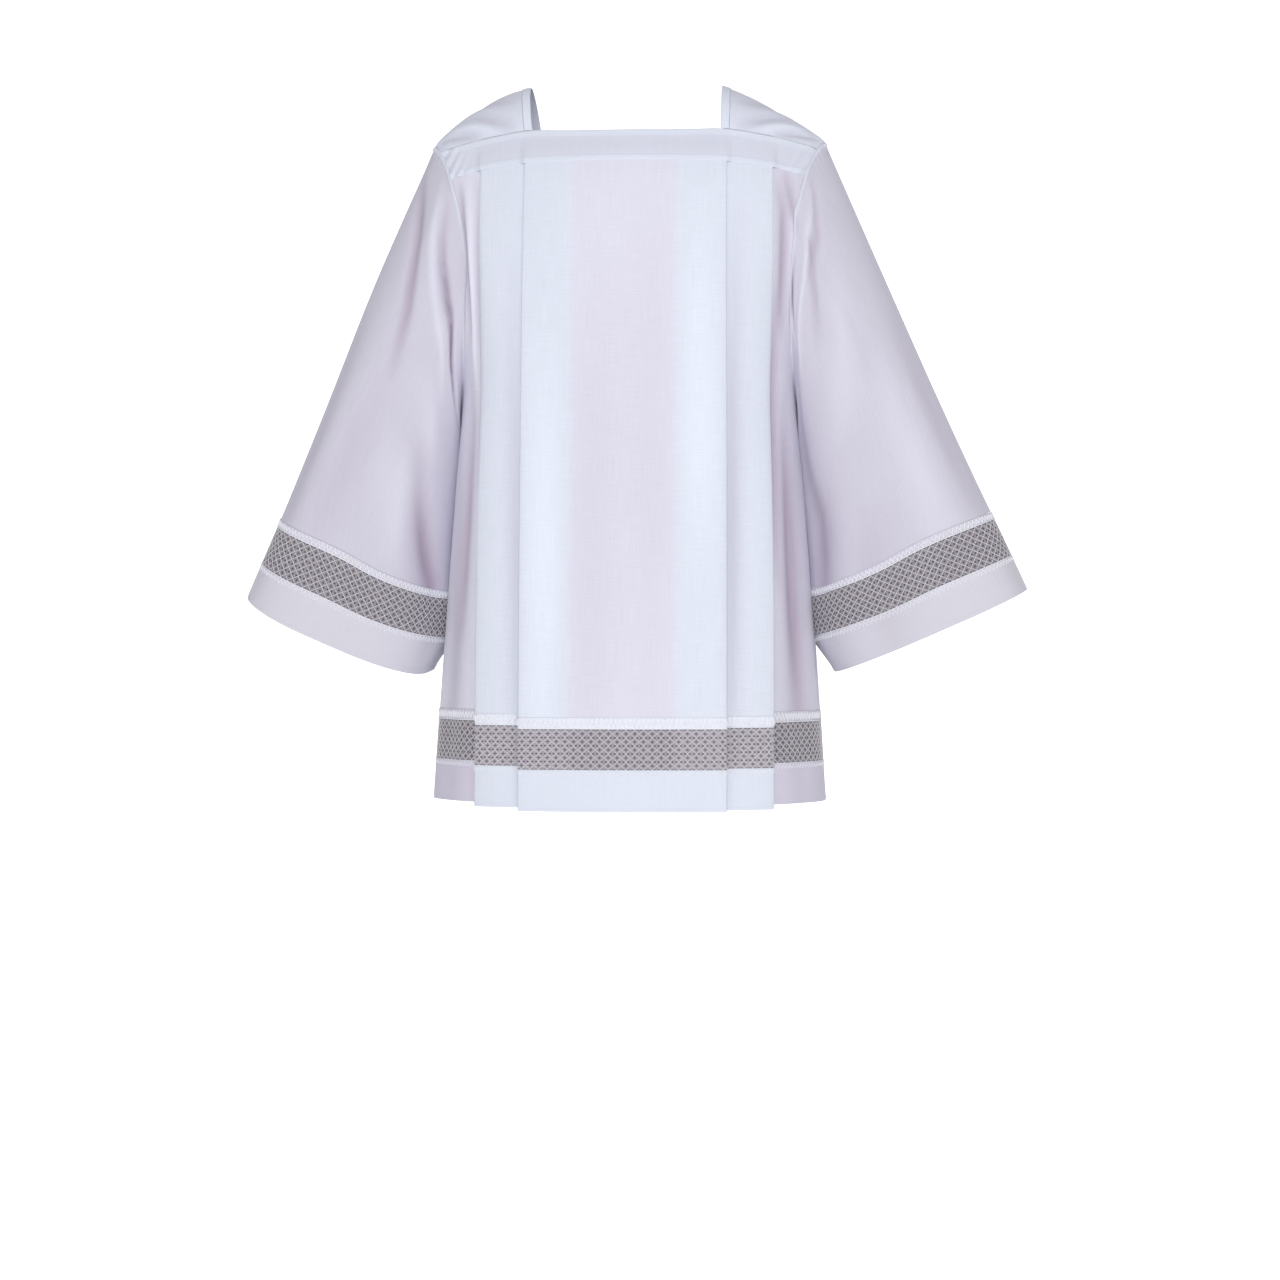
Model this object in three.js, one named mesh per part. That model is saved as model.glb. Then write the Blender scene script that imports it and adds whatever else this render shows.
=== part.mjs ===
import * as THREE from "three";

// A square-necked surplice as it hangs when worn: a loose pleated over-tunic with open bell sleeves.
// Millimetres, +Z up. The front faces -Y and the wearer's left is +X. The origin is the middle of the
// shoulder line, at the height of the yoke beside the neck, where the wearer carries the garment.
// Every cloth piece is a thin closed wall. Neighbours stay a small gap apart at their seams, and a
// slightly wider one under the yoke.

const wall = 1.2;
const seamGap = 0.3;
const yokeSeamGap = 0.6;

// The torso is an oval of two arcs at every height: one flat radius across, one tighter at the sides.
const faceRadius = 520;
const TORSO = [
  { z: -50, halfWidth: 245, front: 72, back: 88 },
  { z: -71, halfWidth: 243, front: 78, back: 94 },
  { z: -130, halfWidth: 238, front: 97, back: 109 },
  { z: -235, halfWidth: 224, front: 115, back: 119 },
  { z: -310, halfWidth: 215, front: 122, back: 119 },
  { z: -390, halfWidth: 209, front: 126, back: 119 },
  { z: -500, halfWidth: 217, front: 131, back: 123 },
  { z: -690, halfWidth: 230, front: 140, back: 133 },
  { z: -896, halfWidth: 245, front: 151, back: 144 },
];

// The armhole is an ellipse seen from the side, and lies on the torso.
const armholeTop = -71;
const armholeBottom = -390;
const armholeHalfDepth = 62;
const armholeMiddle = (armholeTop + armholeBottom) / 2;
const armholeHalfHeight = (armholeTop - armholeBottom) / 2;
const ringSteps = 32;
const armholeStation = Math.PI / 8;
const yokeStations = 3;

// Yoke: a level band across the chest and the back, bending down towards the armholes.
const bandHeight = 39.5;
const YOKE = {
  front: { side: -1, neckEdge: -66.5, droop: 0.00097 },
  back: { side: 1, neckEdge: -56, droop: 0.0019 },
};
const droopFrom = 110;
const neckHalfWidth = 116;
const neckBow = { left: 0, right: 6 };
const neckCornerLift = 2.5;
const neckCornerSpread = 26;
const neckTapeWidth = 9;
const neckTapeRise = 0.3;
const neckArc = 210;
const armholeArc = 90;
const shoulderWidth = 128;
const shoulderApex = { y: 4, z: 0 };
const shoulderRound = { left: 1, right: 8 };
const bandEdgeWidth = 7;
const bandEdgeRise = 0.5;
const bandEdgeSlope = 1.5;
const bandStations = 26;

// Two knife pleats a side, turned outwards from a broad centre box. Places are lengths from the centre.
const pleatEdges = [122, 181];
const pleatDepth = 60;
const pleatPitchTop = 1.6;
const pleatPitchHem = 2.4;
const pleatLayers = 2 * pleatEdges.length;
const pleatFall = 860;
const pleatShoulderFrom = 2;
const pleatShoulderTo = 16;

// Levels of the seams down the body, at the centre front.
const tapeTop = -783;
const netTop = -797;
const netBottom = -845;
const hemLevel = -895;
const middleLevels = [-470, -570];
const levelAboveHem = -670;
const hemLift = 7;
const hemLiftFrom = 150;
const hemLiftTo = 260;

// Soft folds of the body beside the armholes: place and width along the torso, depth, and heights.
const BODY_FOLDS = [
  { face: "front", across: -199, width: 8, depth: -5, top: -140, bottom: -520 },
  { face: "front", across: -215, width: 7, depth: 4, top: -135, bottom: -330 },
  { face: "front", across: 197, width: 8, depth: -6, top: -135, bottom: -480 },
  { face: "front", across: 214, width: 8, depth: 5, top: -135, bottom: -360 },
  { face: "front", across: 232, width: 14, depth: -5, top: -420, bottom: -900 },
  { face: "front", across: -236, width: 14, depth: -4, top: -440, bottom: -900 },
  { face: "back", across: -200, width: 9, depth: -5, top: -140, bottom: -560 },
  { face: "back", across: 203, width: 9, depth: -5, top: -140, bottom: -500 },
  { face: "back", across: 234, width: 14, depth: -5, top: -430, bottom: -900 },
  { face: "back", across: -230, width: 13, depth: -5, top: -470, bottom: -900 },
];

// Sleeves. The over line runs from the shoulder tip to the outer corner of the cuff, and the under
// line from the armpit beside the body to the inner corner. Share 0 is the armhole, 1 the cuff. A fold
// starts at an angle round the sleeve, leans by so many degrees on its way down, and has a width in degrees.
const SLEEVES = [
  {
    name: "left",
    side: 1,
    cuffBulge: 5,
    rows: [
      { share: 0, overX: 244, overZ: -71, underX: 211, underY: 0, underZ: -390, halfDepth: 62 },
      { share: 0.3, overX: 316, overZ: -238, underX: 219, underY: 12, underZ: -492, halfDepth: 74 },
      { share: 0.6, overX: 389, overZ: -405, underX: 226.5, underY: 20, underZ: -594, halfDepth: 84 },
      { share: 0.86, overX: 455, overZ: -549, underX: 232.5, underY: 22, underZ: -682, halfDepth: 91 },
      { share: 1, overX: 490, overZ: -627, underX: 256, underY: 16, underZ: -729, halfDepth: 95 },
    ],
    folds: [
      { angle: 30, lean: 58, width: 13, depth: -4, from: 0.03, to: 0.5 },
      { angle: 66, lean: 54, width: 14, depth: 4, from: 0.05, to: 0.6 },
      { angle: 128, lean: 16, width: 12, depth: -7, from: 0.25, to: 0.97 },
      { angle: 62, lean: 6, width: 20, depth: 3, from: 0.3, to: 0.96 },
      { angle: 226, lean: -8, width: 15, depth: -8, from: 0.15, to: 0.96 },
      { angle: 292, lean: -14, width: 18, depth: -5, from: 0.05, to: 0.6 },
    ],
  },
  {
    name: "right",
    side: -1,
    cuffBulge: 16,
    rows: [
      { share: 0, overX: 244, overZ: -71, underX: 211, underY: 0, underZ: -390, halfDepth: 62 },
      { share: 0.3, overX: 317, overZ: -240, underX: 219, underY: 12, underZ: -492, halfDepth: 74 },
      { share: 0.6, overX: 382, overZ: -408, underX: 226.5, underY: 20, underZ: -594, halfDepth: 85 },
      { share: 0.86, overX: 440, overZ: -553, underX: 232, underY: 22, underZ: -682, halfDepth: 93 },
      { share: 1, overX: 473, overZ: -632, underX: 252, underY: 16, underZ: -729, halfDepth: 97 },
    ],
    folds: [
      { angle: 28, lean: 66, width: 12, depth: -6, from: 0.04, to: 0.5 },
      { angle: 62, lean: 58, width: 14, depth: 4, from: 0.05, to: 0.6 },
      { angle: 102, lean: 40, width: 13, depth: -9, from: 0.32, to: 0.97 },
      { angle: 58, lean: 10, width: 19, depth: 4, from: 0.3, to: 0.96 },
      { angle: 232, lean: -8, width: 15, depth: -8, from: 0.15, to: 0.96 },
      { angle: 296, lean: -14, width: 18, depth: -5, from: 0.05, to: 0.6 },
    ],
  },
];
const overLength = 604;
const underLength = 344;
const sleeveSeat = 1.5;
const sleeveHem = 46;
const sleeveNet = 47;
const sleeveTape = 10;
const sleeveRows = 9;
const sleeveFlatness = 0.8;

const cloth = { color: 0xe4e7f3, roughness: 0.85, metalness: 0 };
const net = { color: 0xa6a2ad, roughness: 0.8, metalness: 0 };
const lace = { color: 0xe9edf7, roughness: 0.8, metalness: 0 };

// Small helpers on numbers.

const clamp = (value, low, high) => Math.min(high, Math.max(low, value));
const mix = (a, b, share) => a + (b - a) * share;
const ease = (low, high, value) => {
  const t = clamp((value - low) / (high - low), 0, 1);
  return t * t * (3 - 2 * t);
};
const bell = (distance, width) => Math.exp(-((distance / width) ** 2) / 2);
const hump = (share) => 4 * share * (1 - share);
const squared = (value) => Math.sign(value) * Math.abs(value) ** sleeveFlatness;
const rise = (from, to, at) => (at <= from || at >= to ? 0 : Math.sin((Math.PI * (at - from)) / (to - from)));

// The smooth value of one column of a table at a key, through every row.
function lookUp(rows, key, column, at) {
  const up = rows[rows.length - 1][key] > rows[0][key] ? 1 : -1;
  let i = rows.findIndex((row) => up * row[key] > up * at) - 1;
  if (i < -1) i = rows.length - 2;
  i = clamp(i, 0, rows.length - 2);
  const slope = (k) => {
    const a = rows[Math.max(k - 1, 0)];
    const b = rows[Math.min(k + 1, rows.length - 1)];
    return (b[column] - a[column]) / (b[key] - a[key]);
  };
  const span = rows[i + 1][key] - rows[i][key];
  const t = clamp((at - rows[i][key]) / span, 0, 1);
  return (
    rows[i][column] * (1 + 2 * t) * (1 - t) ** 2 +
    slope(i) * span * t * (1 - t) ** 2 +
    rows[i + 1][column] * t * t * (3 - 2 * t) -
    slope(i + 1) * span * t * t * (1 - t)
  );
}

// The torso.

function ovalAt(face, z) {
  const halfWidth = lookUp(TORSO, "z", "halfWidth", z);
  const depth = lookUp(TORSO, "z", face, z);
  const sideRadius =
    (2 * faceRadius * depth - halfWidth ** 2 - depth ** 2) / (2 * (faceRadius - halfWidth));
  const turn = Math.asin((halfWidth - sideRadius) / (faceRadius - sideRadius));
  return { halfWidth, depth, sideRadius, turn, flat: faceRadius * turn };
}

function foldAt(face, across, z) {
  let out = 0;
  for (const fold of BODY_FOLDS)
    if (fold.face === face)
      out += fold.depth * bell(across - fold.across, fold.width) * rise(-fold.top, -fold.bottom, -z);
  return out;
}

// The point of the torso at a height, a length across from the centre and a distance out.
function onTorso(face, z, across, out) {
  const oval = ovalAt(face, z);
  const length = Math.abs(across);
  const onFlat = length <= oval.flat;
  const angle = onFlat ? length / faceRadius : oval.turn + (length - oval.flat) / oval.sideRadius;
  const radius = onFlat ? faceRadius : oval.sideRadius;
  const x = (onFlat ? 0 : oval.halfWidth - oval.sideRadius) + radius * Math.sin(angle);
  const y = (onFlat ? oval.depth - faceRadius : 0) + radius * Math.cos(angle);
  const lift = out + foldAt(face, across, z);
  return new THREE.Vector3(
    Math.sign(across || 1) * (x + lift * Math.sin(angle)),
    YOKE[face].side * (y + lift * Math.cos(angle)),
    z,
  );
}

function armholeDepthAt(z) {
  const share = clamp((z - armholeMiddle) / armholeHalfHeight, -1, 1);
  return armholeHalfDepth * Math.sqrt(1 - share * share);
}

// The length across from the centre to the armhole or, below it, to the side seam.
function reach(face, z) {
  const oval = ovalAt(face, z);
  const depth = z > armholeBottom ? armholeDepthAt(z) : 0;
  const corner = oval.sideRadius * Math.cos(oval.turn);
  if (depth < corner)
    return oval.flat + (Math.acos(depth / oval.sideRadius) - oval.turn) * oval.sideRadius;
  return Math.acos((depth + faceRadius - oval.depth) / faceRadius) * faceRadius;
}

const droop = (face, across) =>
  YOKE[face].droop * Math.max(0, Math.abs(across) - droopFrom) ** 2;

// How far a line across the cloth runs before it meets the armhole or the side, given its height at
// every length across.
function reachAlong(face, heightAt) {
  const tries = 30;
  let length = reach(face, heightAt(0));
  for (let i = 0; i < tries; i++) length = mix(length, reach(face, heightAt(length)), 0.5);
  return length;
}

// The band's top edge rises a little at the corners of the neck. Share 0 is its top edge, 1 its lower edge.
const bandLine = (face, share, across) =>
  YOKE[face].neckEdge -
  share * bandHeight -
  droop(face, across) +
  (1 - share) * neckCornerLift * bell(Math.abs(across) - neckHalfWidth, neckCornerSpread);
const yokeReach = (face, share) => reachAlong(face, (across) => bandLine(face, share, across));

// Walls: two matching grids of points, joined along their edges into one closed body. Columns on cloth
// that runs back under a pleat are cut along the other diagonal, so that layers keep their distance.
function wallBetween(outer, inner, closed, runsBack = []) {
  const rows = outer.length;
  const columns = outer[0].length;
  const positions = [];
  for (const p of [outer, inner].flat(2)) positions.push(p.x, p.y, p.z);
  const at = (layer, i, j) => layer * rows * columns + i * columns + (closed ? j % columns : j);
  const index = [];
  const quad = (a, b, c, d) => index.push(a, b, c, a, c, d);
  const last = closed ? columns : columns - 1;
  for (let i = 0; i < rows - 1; i++)
    for (let j = 0; j < last; j++)
      for (const layer of [0, 1]) {
        const corners = [at(layer, i, j), at(layer, i, j + 1), at(layer, i + 1, j + 1), at(layer, i + 1, j)];
        if (runsBack[j]) corners.push(corners.shift());
        if (layer) corners.reverse();
        if (layer && !runsBack[j]) corners.push(corners.shift());
        if (layer && runsBack[j]) corners.push(corners.shift());
        quad(...corners);
      }
  for (let j = 0; j < last; j++) {
    quad(at(0, 0, j), at(1, 0, j), at(1, 0, j + 1), at(0, 0, j + 1));
    quad(at(0, rows - 1, j), at(0, rows - 1, j + 1), at(1, rows - 1, j + 1), at(1, rows - 1, j));
  }
  if (!closed)
    for (let i = 0; i < rows - 1; i++) {
      quad(at(0, i, 0), at(0, i + 1, 0), at(1, i + 1, 0), at(1, i, 0));
      quad(at(0, i, last), at(1, i, last), at(1, i + 1, last), at(0, i + 1, last));
    }
  const geometry = new THREE.BufferGeometry();
  geometry.setAttribute("position", new THREE.Float32BufferAttribute(positions, 3));
  geometry.setIndex(volumeOf(positions, index) < 0 ? index.reverse() : index);
  geometry.computeVertexNormals();
  return geometry;
}

function volumeOf(positions, index) {
  const corner = (i) => new THREE.Vector3(...positions.slice(3 * i, 3 * i + 3));
  let six = 0;
  for (let i = 0; i < index.length; i += 3)
    six += corner(index[i]).dot(corner(index[i + 1]).cross(corner(index[i + 2])));
  return six;
}

// A small step of a share or an angle, for the slopes of a surface.
const step = 1e-3;

// A wall on a surface given by a function of two shares, thickened along its own normal.
function wallOn(surface, rowShares, columnShares, closed, shift = 0) {
  const grids = [1, -1].map((face) =>
    rowShares.map((a) =>
      columnShares.map((b) => {
        const alongRow = surface(a, b + step).sub(surface(a, b - step));
        const alongColumn = surface(a + step, b).sub(surface(a - step, b));
        const normal = alongRow.cross(alongColumn).normalize();
        return surface(a, b).addScaledVector(normal, shift + (face * wall) / 2);
      }),
    ),
  );
  return wallBetween(grids[0], grids[1], closed);
}

const shares = (count, from = 0, to = 1) =>
  Array.from({ length: count + 1 }, (_, i) => mix(from, to, i / count));

// The pleated section. Half of it runs from the centre to the side as one folded line: the top layer
// out to the first edge, back under it, out again to the second edge, back under that, then to the side.
function halfPleatLine(pitch, end) {
  const line = [];
  const run = (stops, layer, way) => {
    for (const across of stops) line.push({ across, out: layer * pitch, sideways: 0, outwards: way });
  };
  const turn = (across, layer, way) =>
    line.push({
      across: across + (way * pitch) / 2,
      out: (layer - 0.5) * pitch,
      sideways: 1,
      outwards: 0,
    });
  const between = (from, to, count) => shares(count, from, to);
  let layer = pleatLayers;
  let from = 0;
  for (const edge of pleatEdges) {
    run(between(from, edge, 4), layer, 1);
    turn(edge, layer, 1);
    run(between(edge, edge - pleatDepth, 2), layer - 1, -1);
    turn(edge - pleatDepth, layer - 1, -1);
    from = edge - pleatDepth;
    layer -= 2;
  }
  run([from, mix(from, pleatEdges.at(-1), 0.5)], layer, 1);
  run(between(pleatEdges.at(-1), end, 5), layer, 1);
  return line;
}

const pitchAt = (z) => mix(pleatPitchTop, pleatPitchHem, clamp((-z - bandHeight) / pleatFall, 0, 1));

// The height of a level line down the body at a length across: it droops under the yoke and lifts at
// the sides near the hem, and is level between.
function heightOf(face, level, across) {
  const bandLow = YOKE[face].neckEdge - bandHeight;
  const underYoke = clamp((level - levelBelowYoke) / (bandLow - levelBelowYoke), 0, 1);
  const nearHem = clamp((levelAboveHem - level) / (levelAboveHem - tapeTop), 0, 1);
  return (
    level -
    underYoke * droop(face, across) +
    nearHem * hemLift * ease(hemLiftFrom, hemLiftTo, Math.abs(across))
  );
}
const stationHeight = (k) => armholeMiddle + armholeHalfHeight * Math.cos(k * armholeStation);
const levelBelowYoke = stationHeight(yokeStations);

// One piece of the pleated body between levels, with an equal number of points on every level.
function pleatedPiece(face, levels) {
  const outer = [];
  const inner = [];
  let runsBack = [];
  for (const level of levels) {
    const pitch = pitchAt(level);
    const end = reachAlong(face, (across) => heightOf(face, level, across)) - seamGap / 2;
    const half = halfPleatLine(pitch, end);
    const mirrored = half.slice(1).map((p) => ({ ...p, across: -p.across, sideways: -p.sideways }));
    const line = [...mirrored.reverse(), ...half];
    runsBack = line.map((p, j) => p.outwards < 0 || (line[j + 1]?.outwards ?? 0) < 0);
    for (const [grid, way] of [[outer, 1], [inner, -1]])
      grid.push(
        line.map((p) => {
          const across = p.across + (way * p.sideways * wall) / 2;
          return onTorso(face, heightOf(face, level, p.across), across, p.out + (way * p.outwards * wall) / 2);
        }),
      );
  }
  return wallBetween(outer, inner, false, runsBack);
}

function bodyLevels(face) {
  const top = YOKE[face].neckEdge - bandHeight - yokeSeamGap;
  const armhole = [3, 4, 5, 6, 7, 8].map(stationHeight);
  const low = [...middleLevels, levelAboveHem, tapeTop + seamGap / 2];
  return [top, mix(top, armhole[0], 0.5), ...armhole, ...low];
}

// The yoke band follows the pleats under its lower edge, and its two stitched edges stand a little proud.
function bandOut(across, share) {
  const length = Math.abs(across);
  const pitch = pitchAt(YOKE.front.neckEdge - bandHeight);
  let stack = 0;
  for (const edge of pleatEdges)
    stack += 2 * pitch * (1 - ease(edge + pleatShoulderFrom, edge + pleatShoulderTo, length));
  return share * stack;
}

function yokeBand(face) {
  const slopeEnd = bandEdgeWidth + bandEdgeSlope;
  const upper = [0, bandEdgeWidth / bandHeight, slopeEnd / bandHeight];
  const downShares = [...upper, ...upper.map((share) => 1 - share).reverse()];
  const grids = [1, -1].map((way) =>
    downShares.map((down, row) => {
      const length = yokeReach(face, down) - seamGap / 2;
      const edge = row < 2 || row > 3 ? bandEdgeRise : 0;
      return shares(bandStations, -1, 1).map((share) => {
        const across = share * length;
        const out = bandOut(across, down) + (way > 0 ? wall / 2 + edge : -wall / 2);
        return onTorso(face, bandLine(face, down, across), across, out);
      });
    }),
  );
  return wallBetween(grids[0], grids[1], false);
}

// The shoulder: a patch stretched between the two bands, the side of the neck and the armhole.
// Share q runs from the neck to the armhole, and share w from the front over to the back.
function bandTopPoint(face, share) {
  const start = faceRadius * Math.asin(neckHalfWidth / faceRadius);
  const across = mix(start, yokeReach(face, 0), share);
  return onTorso(face, bandLine(face, 0, across), across, 0);
}

function neckSidePoint(side, w) {
  const front = bandTopPoint("front", 0);
  const back = bandTopPoint("back", 0);
  const turn = Math.PI * w;
  const middle = mix(front.z, back.z, w);
  const y = w < 0.5
    ? mix(shoulderApex.y, front.y, Math.cos(turn))
    : mix(shoulderApex.y, back.y, -Math.cos(turn));
  const bow = side > 0 ? neckBow.left : neckBow.right;
  const x = neckHalfWidth + bow * Math.sin(turn);
  return new THREE.Vector3(x, y, middle + (shoulderApex.z - middle) * Math.sin(turn));
}

function armholeTopPoint(w) {
  const corner = (face) =>
    Math.acos((bandTopPoint(face, 1).z - armholeMiddle) / armholeHalfHeight);
  return armholePoint(mix(corner("front"), -corner("back"), w));
}

// The armhole's point at an angle from its top, positive towards the front. Below the yoke it runs
// straight between stations, where the body panels have their own edge points.
function armholePoint(angle) {
  const exact = (turn) => {
    const z = armholeMiddle + armholeHalfHeight * Math.cos(turn);
    const face = Math.sin(turn) >= 0 ? "front" : "back";
    return onTorso(face, z, reach(face, z), 0);
  };
  if (Math.abs(angle) <= yokeStations * armholeStation) return exact(angle);
  const k = Math.floor(angle / armholeStation + 1e-6);
  const from = exact(k * armholeStation);
  return from.lerp(exact((k + 1) * armholeStation), angle / armholeStation - k);
}

function shoulderPoint(side, q, w) {
  const edge = (point, weight) => point.multiplyScalar(weight);
  const sum = edge(neckSidePoint(side, w), 1 - q)
    .add(edge(armholeTopPoint(w), q))
    .add(edge(bandTopPoint("front", q), 1 - w))
    .add(edge(bandTopPoint("back", q), w))
    .sub(edge(bandTopPoint("front", 0), (1 - q) * (1 - w)))
    .sub(edge(bandTopPoint("front", 1), q * (1 - w)))
    .sub(edge(bandTopPoint("back", 0), (1 - q) * w))
    .sub(edge(bandTopPoint("back", 1), q * w));
  const round = side > 0 ? shoulderRound.left : shoulderRound.right;
  sum.z += round * hump(q) * hump(w);
  sum.x *= side;
  return sum;
}

const tapeShare = neckTapeWidth / shoulderWidth;

function shoulderPiece(side, fromShare, toShare, columns, shift) {
  return wallOn(
    (w, q) => {
      const gap = yokeSeamGap / mix(neckArc, armholeArc, q);
      return shoulderPoint(side, q, mix(gap, 1 - gap, w));
    },
    shares(12),
    shares(columns, fromShare, toShare),
    false,
    shift,
  );
}

// The sleeves.

function sleeveSection(sleeve, angle, share) {
  const row = (column) => lookUp(sleeve.rows, "share", column, share);
  const over = new THREE.Vector3(row("overX"), 0, row("overZ"));
  const under = new THREE.Vector3(row("underX"), row("underY"), row("underZ"));
  const half = over.clone().sub(under).multiplyScalar(0.5);
  const point = over.clone().add(under).multiplyScalar(0.5);
  point.addScaledVector(half, squared(Math.cos(angle)));
  point.y -= row("halfDepth") * squared(Math.sin(angle));
  const outOfMouth = new THREE.Vector3(half.z, 0, -half.x).normalize();
  return point.addScaledVector(outOfMouth, sleeve.cuffBulge * share * share * Math.sin(angle));
}

// A sleeve's point: angle 0 is the over line, a quarter turn the front; share 0 is the armhole.
function sleevePoint(sleeve, angle, share) {
  const armhole = armholePoint(Math.atan2(Math.sin(angle), Math.cos(angle)));
  armhole.x += sleeveSeat;
  const correction = armhole.sub(sleeveSection(sleeve, angle, 0));
  return sleeveSection(sleeve, angle, share).addScaledVector(correction, (1 - share) ** 2);
}

function sleeveFold(sleeve, angle, share) {
  const degrees = THREE.MathUtils.radToDeg(angle);
  let out = 0;
  for (const fold of sleeve.folds) {
    const centre = fold.angle + fold.lean * clamp((share - fold.from) / (fold.to - fold.from), 0, 1);
    const apart = ((((degrees - centre) % 360) + 540) % 360) - 180;
    out += fold.depth * bell(apart, fold.width) * rise(fold.from, fold.to, share);
  }
  return out;
}

// The same, folded, at a distance from the cuff's edge, measured along the cloth.
function foldedSleevePoint(sleeve, angle, fromCuff) {
  const length = mix(underLength, overLength, (1 + Math.cos(angle)) / 2);
  const share = 1 - fromCuff / length;
  const around = sleeveSection(sleeve, angle + step, share).sub(sleeveSection(sleeve, angle - step, share));
  const down = sleeveSection(sleeve, angle, share + step).sub(sleeveSection(sleeve, angle, share - step));
  const out = around.cross(down).normalize();
  const point = sleevePoint(sleeve, angle, share).addScaledVector(out, sleeveFold(sleeve, angle, share));
  point.x *= sleeve.side;
  return point;
}

const ringAngles = Array.from({ length: ringSteps }, (_, k) => (2 * Math.PI * k) / ringSteps);

function sleeveBand(sleeve, nearCuff, farFromCuff, rows) {
  return wallOn(
    (fromCuff, angle) => foldedSleevePoint(sleeve, angle, fromCuff),
    shares(rows, nearCuff, farFromCuff),
    ringAngles,
    true,
  );
}

function sleeveBody(sleeve) {
  const start = sleeveHem + sleeveNet + sleeveTape + seamGap;
  return wallOn(
    (share, angle) => {
      const length = mix(underLength, overLength, (1 + Math.cos(angle)) / 2);
      return foldedSleevePoint(sleeve, angle, mix(start, length, share));
    },
    shares(sleeveRows),
    ringAngles,
    true,
  );
}

// The garment.

const surplice = new THREE.Group();

function add(name, geometry, look) {
  const mesh = new THREE.Mesh(geometry, new THREE.MeshStandardMaterial(look));
  mesh.name = name;
  surplice.add(mesh);
}

for (const face of ["front", "back"]) {
  add(`${face}_yoke_band`, yokeBand(face), cloth);
  add(`${face}_panel`, pleatedPiece(face, bodyLevels(face)), cloth);
  add(`${face}_lace_tape`, pleatedPiece(face, [tapeTop - seamGap / 2, netTop + seamGap / 2]), lace);
  add(`${face}_net`, pleatedPiece(face, [netTop - seamGap / 2, netBottom + seamGap / 2]), net);
  add(`${face}_hem`, pleatedPiece(face, [netBottom - seamGap / 2, hemLevel]), cloth);
}

for (const sleeve of SLEEVES) {
  const { name, side } = sleeve;
  const tapeEdge = sleeveHem + sleeveNet;
  add(`${name}_neck_tape`, shoulderPiece(side, 0, tapeShare, 1, neckTapeRise * side), cloth);
  add(`${name}_shoulder`, shoulderPiece(side, tapeShare + seamGap / shoulderWidth, 1, 7, 0), cloth);
  add(`${name}_sleeve`, sleeveBody(sleeve), cloth);
  add(`${name}_cuff_lace_tape`, sleeveBand(sleeve, tapeEdge + seamGap, tapeEdge + sleeveTape, 1), lace);
  add(`${name}_cuff_net`, sleeveBand(sleeve, sleeveHem + seamGap, tapeEdge, 1), net);
  add(`${name}_cuff_hem`, sleeveBand(sleeve, 0, sleeveHem, 1), cloth);
}

export default surplice;
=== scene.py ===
import math

import bpy
import numpy as np
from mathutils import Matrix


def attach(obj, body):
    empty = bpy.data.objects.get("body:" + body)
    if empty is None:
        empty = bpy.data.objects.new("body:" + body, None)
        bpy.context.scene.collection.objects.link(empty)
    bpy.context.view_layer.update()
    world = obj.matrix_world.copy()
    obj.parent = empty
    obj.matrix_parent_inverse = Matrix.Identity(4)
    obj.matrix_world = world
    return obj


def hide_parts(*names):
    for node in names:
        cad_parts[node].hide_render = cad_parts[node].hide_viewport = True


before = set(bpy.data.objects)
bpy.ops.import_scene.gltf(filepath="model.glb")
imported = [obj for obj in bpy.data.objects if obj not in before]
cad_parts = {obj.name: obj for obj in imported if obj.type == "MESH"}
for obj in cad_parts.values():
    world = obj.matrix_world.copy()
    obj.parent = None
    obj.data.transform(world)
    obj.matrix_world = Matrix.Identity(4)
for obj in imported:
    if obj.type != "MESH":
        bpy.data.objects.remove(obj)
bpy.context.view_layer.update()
scene = bpy.context.scene


# The two yoke bands. Each is a straight strip of white cotton folded double, stitched along both edges so
# that a narrow strip stands a little proud at the top and the bottom. Shoulders and pleats hang on them.

# The form under the cloth: at every height an oval of two arcs, one flat radius across, one at the sides.
FACE_RADIUS = 0.520
TORSO = [
    {"z": -0.896, "half_width": 0.245, "front": 0.151, "back": 0.144},
    {"z": -0.690, "half_width": 0.230, "front": 0.140, "back": 0.133},
    {"z": -0.500, "half_width": 0.217, "front": 0.131, "back": 0.123},
    {"z": -0.390, "half_width": 0.209, "front": 0.126, "back": 0.119},
    {"z": -0.310, "half_width": 0.215, "front": 0.122, "back": 0.119},
    {"z": -0.235, "half_width": 0.224, "front": 0.115, "back": 0.119},
    {"z": -0.130, "half_width": 0.238, "front": 0.097, "back": 0.109},
    {"z": -0.071, "half_width": 0.243, "front": 0.078, "back": 0.094},
    {"z": -0.050, "half_width": 0.245, "front": 0.072, "back": 0.088},
]
FACING = {"front": -1, "back": 1}

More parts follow.
